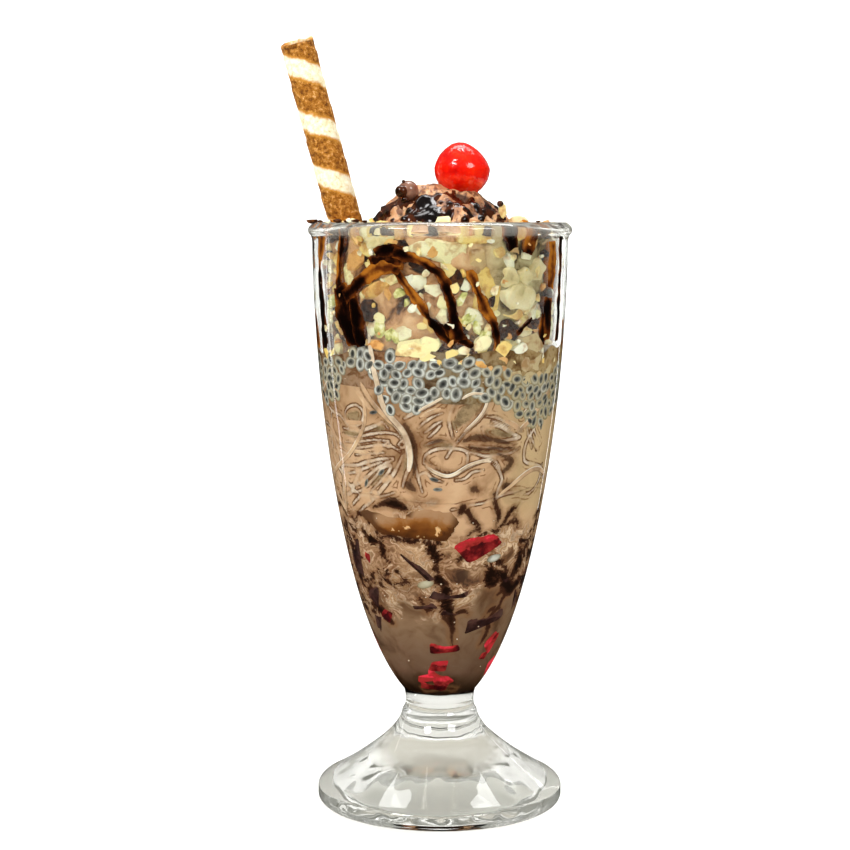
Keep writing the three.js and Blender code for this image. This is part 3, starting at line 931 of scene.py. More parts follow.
# %% Lay the strands
# azimuth and height of each stop
PALE_STRANDS = [
    [(-36, 161), (-34, 155.5), (-33, 150.5), (-32, 144.5), (-30, 139), (-26, 135), (-21, 131.5),
     (-17, 127), (-15, 123), (-16, 119), (-19, 114)],
    [(5, 127), (12, 130), (19, 133.5), (23, 137), (24, 140), (21, 141.6), (16, 142.2), (10, 141), (5, 138)],
    [(-20, 133), (-12, 136.5), (-5, 139), (1, 141), (7, 142.6)],
    [(-10, 121), (-6, 118), (-1, 116.5), (3, 115.5), (8, 116), (13, 118), (19, 119.5), (26, 120.5),
     (34, 118)]]
FRONT_STRANDS = [
    [(-46, 150), (-40, 143), (-35, 138), (-27, 133), (-20, 129)],
    [(-50, 147), (-44, 141), (-37, 137), (-30, 134)], [(-62, 118), (-50, 119), (-40, 121), (-30, 123)],
    [(-18, 132.4), (-8, 135.5), (-1, 137.5), (4, 138)], [(28, 134), (37, 132.8), (44, 130), (50, 127)],
    [(-64, 132), (-54, 131.4), (-43, 131.3), (-34, 133)], [(54, 131), (60, 127), (64, 122)]]
noodle_rng = random.Random(7)


def laid(strands, thin, thick):
    """Strands on the wall, each a little off its line and of its own thickness."""
    paths = []
    for stops in strands:
        loose = [(azimuth + noodle_rng.gauss(0, 0.5), height + noodle_rng.gauss(0, 0.3))
                 for azimuth, height in stops]
        paths.append(on_wall(loose, noodle_rng.uniform(thin, thick), noodle_rng.uniform(0, 0.1)))
    return paths


strand_paths = laid(FRONT_STRANDS, 0.9, 1.3)
for _ in range(60):
    strand_paths.append(on_wall(wander(noodle_rng), noodle_rng.uniform(0.9, 1.2)))
noodle_mesh = mark_side(tubes(strand_paths, 4))
press(noodle_mesh.verts, 0.26)
pale_mesh = mark_side(tubes(laid(PALE_STRANDS[:1], 0.95, 1.1) + laid(PALE_STRANDS[1:], 0.5, 0.65), 5))
press(pale_mesh.verts, 0.3)


# %% Boiled cornflour noodle, half clear in milk
def boiled_noodle(name, hidden, *tones):
    """A pale line where a strand faces the light, a dark one where it turns away, and milk over parts."""
    finish, place = new_finish(name)
    colour = ramp(grain(place, 6, 4.0, 0.6), *zip((0.36, 0.5, 0.64), tones))
    side, lit = stored(finish, "side"), stored(finish, "lit")
    patchy = above(grain(place, 7, 2.0), 0.36, 0.56)
    light = above(side, 0.45, 0.75) * above(lit, 0.0, 0.5)
    colour = blend(light * (0.6 * patchy + 0.35), colour, "F8EFE0")
    shade = above(side, 0.62, 0.88) * below(lit, -0.3, 0.2)
    colour = blend(shade * (-0.4 * patchy + 1.0), colour, "4A2A18")
    # painted shade along both edges of a strand, where it turns away from view
    colour = blend(0.8 * above(side, 0.84, 0.97), colour, "5E3A22")
    milk_over = above(grain(place, 8, 4.0, 0.6), 0.5, 0.6)
    return wet_skin(finish, blend(hidden * milk_over, colour, "CDA580"))


sunk_noodle = boiled_noodle("boiled_noodle_in_milk", 0.7, "A08468", "C8A480", "DCBC98")
piece("noodle_strands", noodle_mesh, sunk_noodle)
near_noodle = boiled_noodle("boiled_noodle_on_glass", 0.0, "B89E84", "DCC6AA", "ECDCC6")
piece("noodles_on_glass", pale_mesh, near_noodle)
marbled_layer("noodle_milk_body", "milky_noodles", "falooda_noodles", milk_top, noodle_top, 0.12, 64, 400)

# %% [markdown]
# ## Basil seeds
# A soaked basil seed is a black kernel in a ball of clear jelly, about 4 mm long. Pressed on
# the glass they pack like cobbles: each shows a grey middle, a pale ring and a dark joint to
# its neighbours. Every seed is a small sphere, drawn out and pressed flat. Its distance from
# its own middle is stored, and the finish turns that into the rings. Kernels are another piece.
# Two seeds have sunk into the chocolate milk, which dulls all but a thin ring of them.

# %% Places for the seeds
# the lower and the upper edge of the seeds, by azimuth
SEED_EDGE = [
    (-180, 139), (-120, 144), (-88, 137), (-60, 138), (-54, 148), (-38, 151), (-33, 146), (-30, 141),
    (-25, 136), (-18, 134.5), (-8, 137), (1, 140.4), (9, 141.4), (16, 143), (22, 139), (34, 136), (48, 131),
    (62, 131), (110, 143), (180, 139)]
SEED_TOP = [
    (-180, 156), (-100, 154), (-60, 153), (-34, 155.5), (-20, 155), (-14, 151.5), (0, 151.5), (9, 154),
    (20, 152), (34, 149), (44, 146), (60, 146), (110, 155), (180, 156)]


def among_seeds(azimuth, height):
    low, high = (np.interp(azimuth, *zip(*edge)) for edge in (SEED_EDGE, SEED_TOP))
    return low < height < high


LOWEST_ROW = 129
ROW_RISE = 2.75
SEED_SPACING = 3.6
seed_rng = random.Random(21)
seed_spots = []
for row in range(12):
    level = LOWEST_ROW + ROW_RISE * row
    around = int(math.tau * cavity(level) / SEED_SPACING)
    for place_in_row in range(around):
        azimuth = 360 * (place_in_row + 0.5 * (row % 2) + seed_rng.gauss(0, 0.14)) / around - 180
        height = level + seed_rng.gauss(0, 0.42)
        if among_seeds(azimuth, height) and seed_rng.random() < 0.95:
            seed_spots.append((azimuth, height))
# kernels on their own in the milk below: azimuth, height and turn
STRAYS = [
    (-3.5, 114.3, -15), (-1.5, 111, 0), (61.5, 130, 90), (-44, 112, 60), (57, 138, 60), (-33, 116, 40),
    (-35, 135.5, 10), (140, 128, 20), (-150, 120, 70), (175, 112, 0), (100, 134, 50), (-110, 126, 30)]
# seeds in the chocolate milk: azimuth, height, turn and tint
SUNK_SEEDS = [(38.6, 87.2, 14, 0.7), (-11, 79, 20, 0.15)]
print("seeds in the band:", len(seed_spots))


# %% Seeds and kernels
def uvsphere(around, up):
    bm = bmesh.new()
    bmesh.ops.create_uvsphere(bm, u_segments=around, v_segments=up, radius=1)
    return bm


def ringed(bm):
    """Keeps a ball whose points carry their distance from its middle."""
    spread = bm.verts.layers.float.new("spread")
    for vert in bm.verts:
        vert[spread] = math.hypot(vert.co.x, vert.co.y)
    return as_mesh(bm)


seed_shape = ringed(uvsphere(14, 6))
kernel_shape = ringed(icosphere(3))
seed_mesh = blank("spread", "tint")
kernel_mesh = blank("spread")
IN_FRONT = Matrix.Translation((0, 0, 1.05))
for azimuth, height, turn in STRAYS:
    spot = at_wall(azimuth, height, 0.6, turn)
    paste(kernel_mesh, kernel_shape, spot @ IN_FRONT @ stretch(1.5, 0.62, 0.4), 0.3)
for azimuth, height, turn, tint in SUNK_SEEDS:
    verts = paste(seed_mesh, seed_shape, at_wall(azimuth, height, 0.2, turn) @ stretch(2.8, 1.5, 1.3), 0.42)
    tinted(seed_mesh, verts, tint)
    spread = seed_mesh.verts.layers.float["spread"]
    for vert in verts:
        vert[spread] = 0.6 + 0.38 * vert[spread] ** 3
for azimuth, height in seed_spots:
    spot = at_wall(azimuth, height, seed_rng.uniform(0.1, 0.5), seed_rng.uniform(0, 180))
    size = seed_rng.uniform(0.86, 1.12)
    reach = seed_rng.uniform(0.2, 0.36)
    murk = min(max((azimuth - 5) / 35, 0.15), 0.95) if -45 < azimuth < 90 else 0.7
    tint = max(1 - murk * seed_rng.uniform(0.6, 1.3), 0)
    tinted(seed_mesh, paste(seed_mesh, seed_shape, spot @ stretch(2.7 * size, 2.1 * size, 1.3), reach), tint)
    size *= seed_rng.uniform(0.75, 1.15)
    paste(kernel_mesh, kernel_shape, spot @ IN_FRONT @ stretch(1.4 * size, 0.8 * size, 0.4), reach + 0.05)


# %% Soaked seed jelly and seed coat
def seed_gel():
    """Rings round the middle of each seed, which milk hides where the tint is low."""
    finish, place = new_finish("soaked_seed_jelly")
    spread = stored(finish, "spread")
    rings = ramp(spread, (0.0, "505456"), (0.42, "84888A"), (0.54, "C6C9C6"), (0.62, "D8DAD5"),
                 (0.74, "B6B8B1"), (0.84, "9A988E"), (0.93, "8A8273"), (1.0, "6E6250"))
    sheen = ramp(grain(place, 3, 3.0, 0.6), (0.38, "B4B0AC"), (0.56, "FFFFFF"))
    rings = blend(0.85, rings, sheen, "MULTIPLY")
    milky = ramp(spread, (0.0, "6A604C"), (0.4, "988C70"), (0.6, "BAB092"), (0.85, "9C9070"),
                 (1.0, "74624A"))
    return wet_skin(finish, blend(stored(finish, "tint"), milky, rings), 1)


def seed_coat():
    """A black coat looks grey under its jelly, and paler towards its edge."""
    finish, place = new_finish("black_seed_coat")
    spread = stored(finish, "spread") + 1.6 * (grain(place, 2.6, 2.0) - 0.5)
    colour = ramp(spread, (0.1, "302F2D"), (0.45, "4B4A47"), (0.75, "676660"), (1.0, "88867D"))
    return wet_skin(finish, colour, 0.5)


def milk_round_seeds():
    """Peach at the left, grey-brown round the seeds at the front, and beige at the right."""
    finish, place = new_finish("milk_between_seeds")
    side = above(coordinate(swirl(place, 12, 10), "X"), -0.040, 0.040)
    colour = ramp(side, (0.0, "8E765E"), (0.16, "A88468"), (0.24, "D9AC84"), (0.32, "C49A74"),
                  (0.38, "8E7E6A"), (0.62, "8C7E66"), (0.76, "9A8462"), (1.0, "B29A70"))
    cloud = grain(swirl(place, 9, 8), 7, 6.0, 0.62)
    shade = ramp(cloud, (0.34, "866E5C"), (0.44, "C8B8A8"), (0.5, "FFFFFF"), (0.58, "EADFD2"),
                 (0.64, "B09A86"))
    return wet_skin(finish, blend(1.0, colour, shade, "MULTIPLY"))


def seed_surface(x, y):
    """The top of the seeds, with the small unevenness that the solid model leaves out."""
    return seed_top(x, y) + 1.8 * uneven(x / 3.1, y / 3.1, 0, 9) - 0.8


piece("basil_seed_jelly", seed_mesh, seed_gel())
piece("basil_seed_kernels", kernel_mesh, seed_coat())
seed_milk = layer(noodle_top, seed_surface, 0.14, 24, 300)
piece("seed_milk_body", seed_milk, milk_round_seeds(), ["basil_seeds"])

# %% [markdown]
# ## Air bubbles
# Pouring leaves small bubbles that cling to the inside of the glass. Each is a tiny sphere,
# pressed flat. It marks its sides as a strand does, so that its finish can ring it with brown.

# %% Air bubbles caught at the glass
bubble_rng = random.Random(17)
bubble_shape = as_mesh(icosphere(2))
bubble_mesh = bmesh.new()
for _ in range(80):
    spot = at_wall(bubble_rng.uniform(-180, 180), bubble_rng.uniform(46, 150), 0.1)
    paste(bubble_mesh, bubble_shape, spot @ Matrix.Scale(bubble_rng.uniform(0.25, 0.5), 4))
mark_side(bubble_mesh)
press(bubble_mesh.verts, 0.4)


def bubble_skin():
    """A bubble mirrors the light in its middle and the milk round its edge."""
    finish, place = new_finish("air_bubble")
    side = stored(finish, "side") + 0.3 * grain(place, 20, 1.0)
    # painted reflections: the pale middle stands for the light, and the brown rim for the milk
    colour = ramp(side, (0.3, "F4E8DA"), (0.55, "D8C2A8"), (0.8, "94704F"), (1.0, "5E3E2A"))
    return wet_skin(finish, colour, 0.5)


piece("air_bubbles", bubble_mesh, bubble_skin())

# %% [markdown]
# ## The bed of nuts
# Up to the rim the glass holds chopped cashews, almonds and pistachios, lumps of cream and
# melting ice cream, with syrup running between. Dry nuts don't wet the glass, so a little air
# is left beside them, and a clear band shows at both sides. A lumpy core gives the melting
# ice cream, and the nuts lie on it, up against the glass.

# %% The core of melting ice cream
def melted_ice_cream():
    """Peach at the left and beige at the right, with dark syrup in the hollows."""
    finish, place = new_finish("melting_chocolate_ice_cream")
    cloud = grain(swirl(place, 14, 12), 11, 5.0, 0.6)
    peach = ramp(cloud, (0.35, "1E0D06"), (0.41, "5E3A20"), (0.46, "AC7A50"), (0.54, "DCAA7A"),
                 (0.66, "EEC89C"))
    beige = ramp(cloud, (0.35, "281C0E"), (0.41, "6A5632"), (0.46, "A49468"), (0.56, "CCBE90"),
                 (0.70, "E2D8AA"))
    colour = blend(above(coordinate(place, "X"), 0.004, 0.022), peach, beige)
    bump = relief(grain(place, 2.2, 4.0), 0.4)
    return body(finish, colour, 0.35, {"Specular IOR Level": 0.25, "Normal": bump}, 0.15, (3, 2, 1))


def bed_top(x, y):
    """The bed ends just under the rim."""
    return 193 + 0.8 * uneven(x / 5, y / 5, 0, 7)


bed_mesh = layer(seed_surface, bed_top, -1.5, 50)
for vert in bed_mesh.verts:
    if math.hypot(vert.co.x, vert.co.y) > 5:
        move_out(vert, 1.2 * noise.noise(vert.co / 6) + 0.5 * noise.noise(vert.co / 2.2))
piece("melting_ice_cream_bed", bed_mesh, melted_ice_cream(), ["nut_bed"])


# %% Chopped pieces
def cut_away(bm, spot, normal):
    """Cuts away what lies beyond a plane, and closes the cut."""
    geometry = bm.verts[:] + bm.edges[:] + bm.faces[:]
    cut = bmesh.ops.bisect_plane(bm, geom=geometry, plane_co=spot, plane_no=normal, clear_outer=True)
    rim = [part for part in cut["geom_cut"] if isinstance(part, bmesh.types.BMEdge)]
    bmesh.ops.edgeloop_fill(bm, edges=rim)
    return bm


def chopped(rng, cuts):
    """A chopped piece 1 mm across: a ball cut by planes."""
    bm = icosphere(1 if cuts > 4 else 2, 0.5)
    for _ in range(cuts):
        normal = Vector([rng.gauss(0, 1) for _ in range(3)]).normalized()
        cut_away(bm, normal * rng.uniform(0.22, 0.4), normal)
    bmesh.ops.remove_doubles(bm, verts=bm.verts, dist=0.02)
    bmesh.ops.triangulate(bm, faces=bm.faces)
    for vert in bm.verts:
        vert.co *= 1 + 0.1 * noise.noise(vert.co * 5 + normal * 9)
    bmesh.ops.recalc_face_normals(bm, faces=bm.faces)
    return as_mesh(bm)


def tumble(rng):
    """A random turn about a random axis."""
    turn = rng.uniform(0, math.tau)
    return Matrix.Rotation(turn, 4, Vector([rng.gauss(0, 1) for _ in range(3)]).normalized())


def toss(bm, rng, spot, size, reach=None):
    """Adds a chopped piece of a size, tumbled and picked at random, and returns its points."""
    shape = stretch(*size) @ tumble(rng)
    return paste(bm, rng.choice(prototypes), spot @ shape, reach)


def spots_on_wall(rng, tries, spacing, span, allowed, taken=()):
    """Places on the wall that keep their distance, as (azimuth, height)."""
    spots = []
    kept = list(taken)
    for _ in range(tries):
        azimuth, height = rng.uniform(-180, 180), rng.uniform(*span)
        if not allowed(azimuth, height):
            continue
        for other_azimuth, other_height, room in kept:
            rise = abs(other_height - height)
            gap = (room + spacing) / 2
            turn = math.radians((azimuth - other_azimuth + 180) % 360 - 180)
            if rise < gap and math.hypot(turn * cavity(height), rise) < gap:
                break
        else:
            kept.append((azimuth, height, spacing))
            spots.append((azimuth, height))
    return spots


nut_rng = random.Random(31)
prototypes = [chopped(nut_rng, cuts) for cuts in (2, 3, 4, 5, 5, 6, 6, 7, 8, 9)]

# %% Chopped nuts
# azimuth, height, width, height, thickness, turn and tint, where 0 is white, 0.3 cream, 0.6 yellow,
# 0.8 peach and 1 a greyish beige
FRONT_NUTS = [
    (-8, 186.6, 17, 11, 7, 8, 0.2), (2, 188.5, 15, 12, 7, -10, 0.26), (16, 191.5, 14, 8, 6, 5, 0.55),
    (-50, 195, 9, 5, 6, 0, 0.25), (-44, 184, 12, 8, 5, 20, 0.8), (-49, 178, 6, 13, 5, 8, 0.3),
    (-33, 174.5, 16, 7, 6, 28, 0.72), (27, 192, 7, 12, 6, -25, 1.0), (22.5, 175, 14, 24, 7, 6, 0.58),
    (16, 184, 9, 11, 6, -30, 0.95), (4, 181, 8, 9, 5, 40, 0.5), (-22, 178.5, 8, 6, 5, 12, 0.35),
    (-3, 175, 8, 6, 5, -25, 0.15), (-9, 170, 7, 6, 5, 15, 0.12), (11, 176, 6, 5, 4, 60, 0.1),
    (45, 163, 12, 9, 6, -20, 0.4), (38, 167, 11, 6, 6, 10, 0.5), (1, 167, 6, 8, 4, 15, 0.2),
    (16, 166, 6, 9, 4, 35, 0.15), (-18, 161, 9, 6, 4, 5, 0.18), (-5, 158, 8, 6, 4, -10, 0.3),
    (10, 153, 8, 5, 3, 5, 0.3), (-12, 156, 14, 8, 5, 0, 0.35), (2, 161, 5, 7, 4, 60, 0.08),
    (30, 156, 9, 6, 4, 20, 0.55), (47, 157, 14, 12, 5, 0, 1.0), (58, 160, 6, 14, 4, -14, 0.2),
    (20, 158, 7, 5, 4, 30, 0.25), (-7, 153.5, 9, 5, 3, 10, 0.4), (-1, 151.8, 7, 4, 3, -15, 0.65),
    (5, 154.6, 6, 4, 3, 30, 0.5), (13, 152, 7, 3.4, 3, 5, 0.8), (19, 151.4, 5, 3, 3, -20, 0.75),
    (31, 152.6, 5, 4, 3, 15, 0.85), (45, 151, 6, 6, 3, 0, 1.0), (-16, 156.5, 6, 3, 3, 10, 0.2),
    (-32, 157, 7, 5, 3, 0, 0.8), (52, 152, 8, 8, 3, 10, 1.0), (-40, 165, 7, 5, 4, -10, 0.85),
    (36, 188, 7, 9, 5, 0, 0.9), (41, 156, 7, 4, 4, 15, 0.05), (50, 167, 5, 9, 4, -30, 0.08),
    (33, 183, 5, 8, 4, 10, 0.1), (57, 153, 5, 9, 4, -8, 0.1), (44, 186, 6, 5, 4, 30, 0.15),
    (30, 149.5, 8, 5, 3, 5, 0.9), (38, 147.5, 9, 5, 3, 20, 1.0), (48, 146, 8, 6, 3, 0, 1.0),
    (23, 149.5, 6, 4, 3, 0, 0.85), (62, 150, 7, 7, 3, 10, 1.0), (56, 146.5, 7, 5, 3, -10, 0.95)]
taken = [(azimuth, height, 0.8 * (wide + tall) / 2) for azimuth, height, wide, tall, *_ in FRONT_NUTS]
# places with few nuts: azimuth, height and width
bare = [(-22, 169, 13), (-48, 169, 14), (38, 176, 13), (57, 180, 12), (8, 170, 4), (-20, 183, 8)]
nut_spots = spots_on_wall(nut_rng, 3200, 4.7, (156, 194), lambda a, z: True, taken + bare)
chip_spots = spots_on_wall(nut_rng, 900, 4.2, (149, 194), lambda a, z: z > 153 or nut_rng.random() < 0.5,
                           [(azimuth, height, 5) for azimuth, height, _ in bare])
print("nuts:", len(FRONT_NUTS) + len(nut_spots), "chips:", len(chip_spots))

# %% Lay the nuts
# above this height there is air between nuts and glass, and below it milk wets them both
DRY_FROM = 158
nut_mesh = blank("tint")
for azimuth, height, wide, tall, thick, turn, tint in FRONT_NUTS:
    dry = height > DRY_FROM
    spot = at_wall(azimuth, height, thick * (0.42 if dry else 0.2), turn)
    tinted(nut_mesh, toss(nut_mesh, nut_rng, spot, (wide, tall, thick), -0.2 if dry else 0.3), tint)
for azimuth, height in chip_spots:
    wide = nut_rng.uniform(1.8, 5)
    spot = at_wall(azimuth, height, nut_rng.uniform(0.3, 1), nut_rng.uniform(0, 180))
    verts = toss(nut_mesh, nut_rng, spot, (wide, wide * nut_rng.uniform(0.4, 0.9), 2.4))
    press(verts, nut_rng.choice((-0.16, -0.1, 0.16)) if height > 157 else 0.32)
    tinted(nut_mesh, verts, nut_rng.choice((0.05, 0.2, 0.3, 0.45, 0.6, 0.8)))
for azimuth, height in nut_spots:
    wide = nut_rng.uniform(4.5, 10)
    spot = at_wall(azimuth, height, nut_rng.uniform(1.2, 2.6), nut_rng.uniform(0, 180))
    verts = toss(nut_mesh, nut_rng, spot, (wide, wide * nut_rng.uniform(0.5, 0.9), 4.5), -0.25)
    tinted(nut_mesh, verts, nut_rng.random())
for _ in range(150):
    angle = nut_rng.uniform(0, math.tau)
    radius = nut_rng.uniform(24, 36.5)
    size = nut_rng.uniform(3, 7)
    spot = (radius * math.cos(angle), radius * math.sin(angle), nut_rng.uniform(192, 194.6))
    shape = nut_rng.choice(prototypes)
    turned_spot = Matrix.Translation(spot) @ tumble(nut_rng)
    verts = paste(nut_mesh, shape, turned_spot @ stretch(size, size * 0.8, size * 0.6), -0.3)
    tinted(nut_mesh, verts, nut_rng.random())


# %% Cut cashew and almond
def chopped_nut():
    """A cut nut is waxy and cream, with a slightly rough break."""
    finish, place = new_finish("chopped_cashew_and_almond")
    kind = ramp(stored(finish, "tint"), (0.0, "FFFFEC"), (0.3, "FFF2B8"), (0.6, "F8D678"),
                (0.8, "EAB066"), (1.0, "C8B488"))
    colour = blend(0.6, kind, ramp(grain(place, 4), (0.36, "B87828"), (0.5, "FFFFFF")), "MULTIPLY")
    bump = relief(grain(place, 0.9, 4.0), 0.25)
    return body(finish, colour, 0.3, {"Specular IOR Level": 0.35, "Normal": bump}, 0.2, (3, 2, 1.2))


# in degrees: edges of a nut that are bent more than this stay hard
NUT_EDGE = 28
nut_finish = chopped_nut()
piece("chopped_nuts", nut_mesh, nut_finish, sharp=NUT_EDGE)

# %% [markdown]
# Between the nuts lie soft lumps of cream, which are rounded lobes like the brown jelly, green
# chopped pistachios, and crumbs of dark chocolate. Those named in the lists lie at the front,
# and the others are strewn round the back.

# %% Lumps of cream, pistachios and dark crumbs
# azimuth, height, width, height and thickness
CREAM_LUMPS = [
    (40, 172.6, 15, 12, 9), (34, 178.6, 9, 8, 8), (43.5, 179, 8, 7, 8), (52, 181, 10, 8, 8),
    (-30, 191, 13, 7, 8), (47, 158, 12, 10, 7), (120, 180, 14, 12, 9), (165, 170, 13, 13, 9),
    (-110, 184, 14, 11, 9), (-150, 172, 12, 12, 9)]
# azimuth, height and length
PISTACHIOS = [
    (-30, 162.5, 7), (-25, 161, 6), (-19, 174, 6), (10, 172, 6), (13, 166, 6), (20, 159, 7), (23, 162, 5),
    (-16, 171, 4), (17, 163, 5), (-22, 160, 5)]
# azimuth, height, width and height
CRUMBS = [
    (-3, 155.4, 9, 3.4), (4, 152, 6, 3), (-14, 152.4, 7, 3), (16, 155, 5, 3), (49, 163.5, 8, 4),
    (37, 153.5, 6, 4), (-20, 187, 12, 9), (-26, 186, 9, 8), (-12, 184, 6, 5), (6, 177, 6, 9),
    (8, 157.5, 14, 5), (10, 162, 5, 5), (33, 163, 7, 6), (-36, 168, 9, 9), (-49, 171, 10, 14),
    (-46, 164, 9, 12), (4, 164, 4, 6), (57, 165, 8, 12), (61, 172, 6, 12), (30, 157, 6, 5), (30, 161, 5, 4),
    (52, 159, 9, 4), (36, 161, 6, 6), (58, 186, 4, 4), (24, 171, 4, 5), (-28, 193.5, 9, 3),
    (-4, 194, 6, 2.5), (20, 194, 6, 3), (57, 193, 6, 4), (-60, 192, 8, 6), (-70, 189, 8, 8)]
cream_rng = random.Random(41)
cream_mesh = bmesh.new()
for azimuth, height, wide, tall, thick in CREAM_LUMPS:
    spot = at_wall(azimuth, height, thick * 0.42, cream_rng.uniform(-20, 20))
    lobe(cream_mesh, spot, (wide, tall, thick), cream_rng, 0.26, 4, -0.2)
pistachio_rng = random.Random(43)
pistachio_mesh = bmesh.new()
for azimuth, height in spots_on_wall(pistachio_rng, 60, 14, (160, 190), lambda a, z: abs(a) > 60):
    PISTACHIOS.append((azimuth, height, 7))
for azimuth, height, size in PISTACHIOS:
    spot = at_wall(azimuth, height, 0.9, pistachio_rng.uniform(0, 180))
    toss(pistachio_mesh, pistachio_rng, spot, (size, size * 0.55, 2.6), -0.15)
crumb_rng = random.Random(47)
crumb_mesh = bmesh.new()
for azimuth, height in spots_on_wall(crumb_rng, 90, 9, (158, 193), lambda a, z: abs(a) > 55):
    CRUMBS.append((azimuth, height, 6, 5))
for azimuth, height, wide, tall in CRUMBS:
    spot = at_wall(azimuth, height, 1.2, crumb_rng.uniform(-30, 30))
    toss(crumb_mesh, crumb_rng, spot, (wide, tall, 4), -0.1)


# %% Cream, pistachio and chocolate crumb
def whipped_cream():
    finish, place = new_finish("thick_cream")
    cloud = grain(swirl(place, 8, 5), 7)
    colour = ramp(cloud, (0.3, "C2AE7A"), (0.45, "EBD9A2"), (0.7, "FCF1CA"))
    bump = relief(grain(place, 3), 0.5)
    return body(finish, colour, 0.3, {"Specular IOR Level": 0.25, "Normal": bump}, 0.3, (3, 2, 1.5))


def green_kernel():
    finish, place = new_finish("chopped_pistachio")
    colour = ramp(grain(place, 2.5), (0.3, "7C7A34"), (0.45, "C4C264"), (0.56, "ECE69C"), (0.68, "FFFBD4"))
    return body(finish, colour, 0.35, {}, 0.2, (2, 2, 1))


def dark_crumb():
    finish, place = new_finish("chocolate_crumb")
    cloud = grain(place, 2, 4.0)
    colour = ramp(cloud, (0.3, "140703"), (0.5, "351809"), (0.68, "6E421F"))
    return body(finish, colour, 0.4, {"Specular IOR Level": 0.05, "Normal": relief(cloud, 0.6)})


crumb_finish = dark_crumb()
piece("cream_lumps", cream_mesh, whipped_cream())
piece("chopped_pistachios", pistachio_mesh, green_kernel(), sharp=38)
piece("chocolate_crumbs", crumb_mesh, crumb_finish)

# %% [markdown]
# ## Chocolate syrup on the glass
# Syrup was poured down the inside of the glass. It runs in drips that are nearly black in the
# middle and amber where the film is thin. Each drip is a tube whose thickness changes along
# its way, pressed flat on the wall, and coloured like the noodles by how far it looks out.

# %% Drips
# each drip is a list of azimuth, height and half width
DRIPS = [
    [(-50, 196, 1.6), (-51, 188, 1.5), (-53, 180, 1.4), (-54, 174, 2.2), (-50, 169, 3.5)],
    [(-53, 176, 3.4), (-50, 170, 6), (-48, 163, 5), (-45, 157, 2.4)],
    [(-44, 173, 1.6), (-43, 168, 3.6), (-42, 162, 3.4), (-40, 157, 1.6)],
    [(-50, 172, 3), (-43, 175, 2), (-35, 180, 1.8), (-27, 182.5, 2.4), (-19, 181, 1.6)],
    [(-33, 182.5, 2.4), (-25, 184.4, 3), (-17, 183.5, 2.4)],
    [(-31, 186, 1.6), (-24, 188, 2.6), (-17, 187.4, 1.6)],
    [(-22, 182, 1.5), (-13, 173.5, 1.3), (-6, 166, 1.4), (2, 160.5, 1.8), (7, 158, 2.4)],
    [(-22, 187, 2.4), (-14, 185.5, 1.6), (-5, 182.7, 1.5), (2, 178, 1.6), (5, 171, 1.5), (7, 163, 2),
     (8, 159, 2.6)],
    [(13, 181, 1.3), (16, 175, 1.6), (20, 169, 2), (26, 164, 1.8), (28, 158, 1.4), (27, 152, 1.2)],
    [(32, 196, 2.6), (33, 191, 2.6), (35, 187.5, 1.8)], [(47, 196, 2.6), (45, 190, 2.6), (43, 186, 2)],
    [(61, 190, 2), (62, 182, 2.6), (60, 175, 2.2)], [(59, 172, 2.6), (58, 165, 3.4), (60, 158, 2)],
    [(55, 167, 1.2), (54, 161.5, 2.6), (56.5, 156, 1.4)],
    [(38, 161.2, 0.8), (42.5, 163, 1.4), (47.5, 165.6, 0.8)],
    [(31, 158, 1.2), (32.5, 154, 2.4), (34, 150, 1.8)],
    [(-70, 194, 1.2), (-72, 184, 1.4), (-71, 172, 2.2), (-69, 162, 3), (-70, 153, 2)],
    [(70, 194, 1.4), (71, 182, 1.2), (69, 170, 1.8), (71, 158, 1.6)],
    [(-82, 195, 1.2), (-83, 187, 2), (-81, 181, 1)], [(-85, 168, 1), (-82, 162, 2.4), (-82, 155, 3)],
    [(84, 182, 0.6), (83, 174, 1), (84, 168, 0.6)], [(80, 164, 1), (82, 159, 2), (81, 153, 2.4)],
    [(2, 164, 1.6), (6, 160, 2.4), (12, 158, 2), (15, 157, 1.2)],
    [(-66, 196, 3), (-68, 190, 3.2), (-71, 184, 1.6)], [(-78, 196, 2.4), (-79, 191, 2)]]
drip_rng = random.Random(53)
for _ in range(18):
    azimuth = drip_rng.uniform(108, 252)
    height = 196
    drip = []
    while height > 160:
        drip.append((azimuth, height, drip_rng.uniform(1.1, 2.4)))
        azimuth += drip_rng.gauss(0, 4)
        height -= drip_rng.uniform(5, 9)
    DRIPS.append(drip)
# where the syrup is a thin film, as lines of azimuth, height and half width
THIN_FILM = [
    [(-34, 180, 2.4), (-26, 182, 2.6), (-19, 181, 2.4), (-13, 173.5, 1.5), (-6, 166, 1.5)],
    [(-53, 196, 2), (-54, 188, 2), (-56, 180, 2)], [(14, 180, 2), (17, 174, 2), (22, 167, 1.5)],
    [(-14, 186, 1), (-5, 183.5, 1)], [(-66, 197, 3), (-71, 183, 2.4)], [(-78, 196, 3), (-79, 190, 3)],
    [(-83, 196, 3), (-83, 154, 3)], [(83, 186, 3), (82, 152, 3)], [(45, 196, 2), (45, 188, 1)],
    [(61, 190, 2), (62, 178, 3)]]
drip_mesh = blank("side", "lit", "film")
for index, line in enumerate(DRIPS):
    path = [(at_wall(azimuth, height, 0.2).translation, width) for azimuth, height, width in line]
    drip = mark_side(tubes([path], 4))
    paint(drip, "film", THIN_FILM)
    for vert in drip.verts:
        vert.co += vert.normal * (1.1 * noise.noise(vert.co / 4) + 0.7 * noise.noise(vert.co / 1.7) - 0.1)
    merge(drip_mesh, drip, Matrix(), 0.04 + 0.03 * (index % 4))


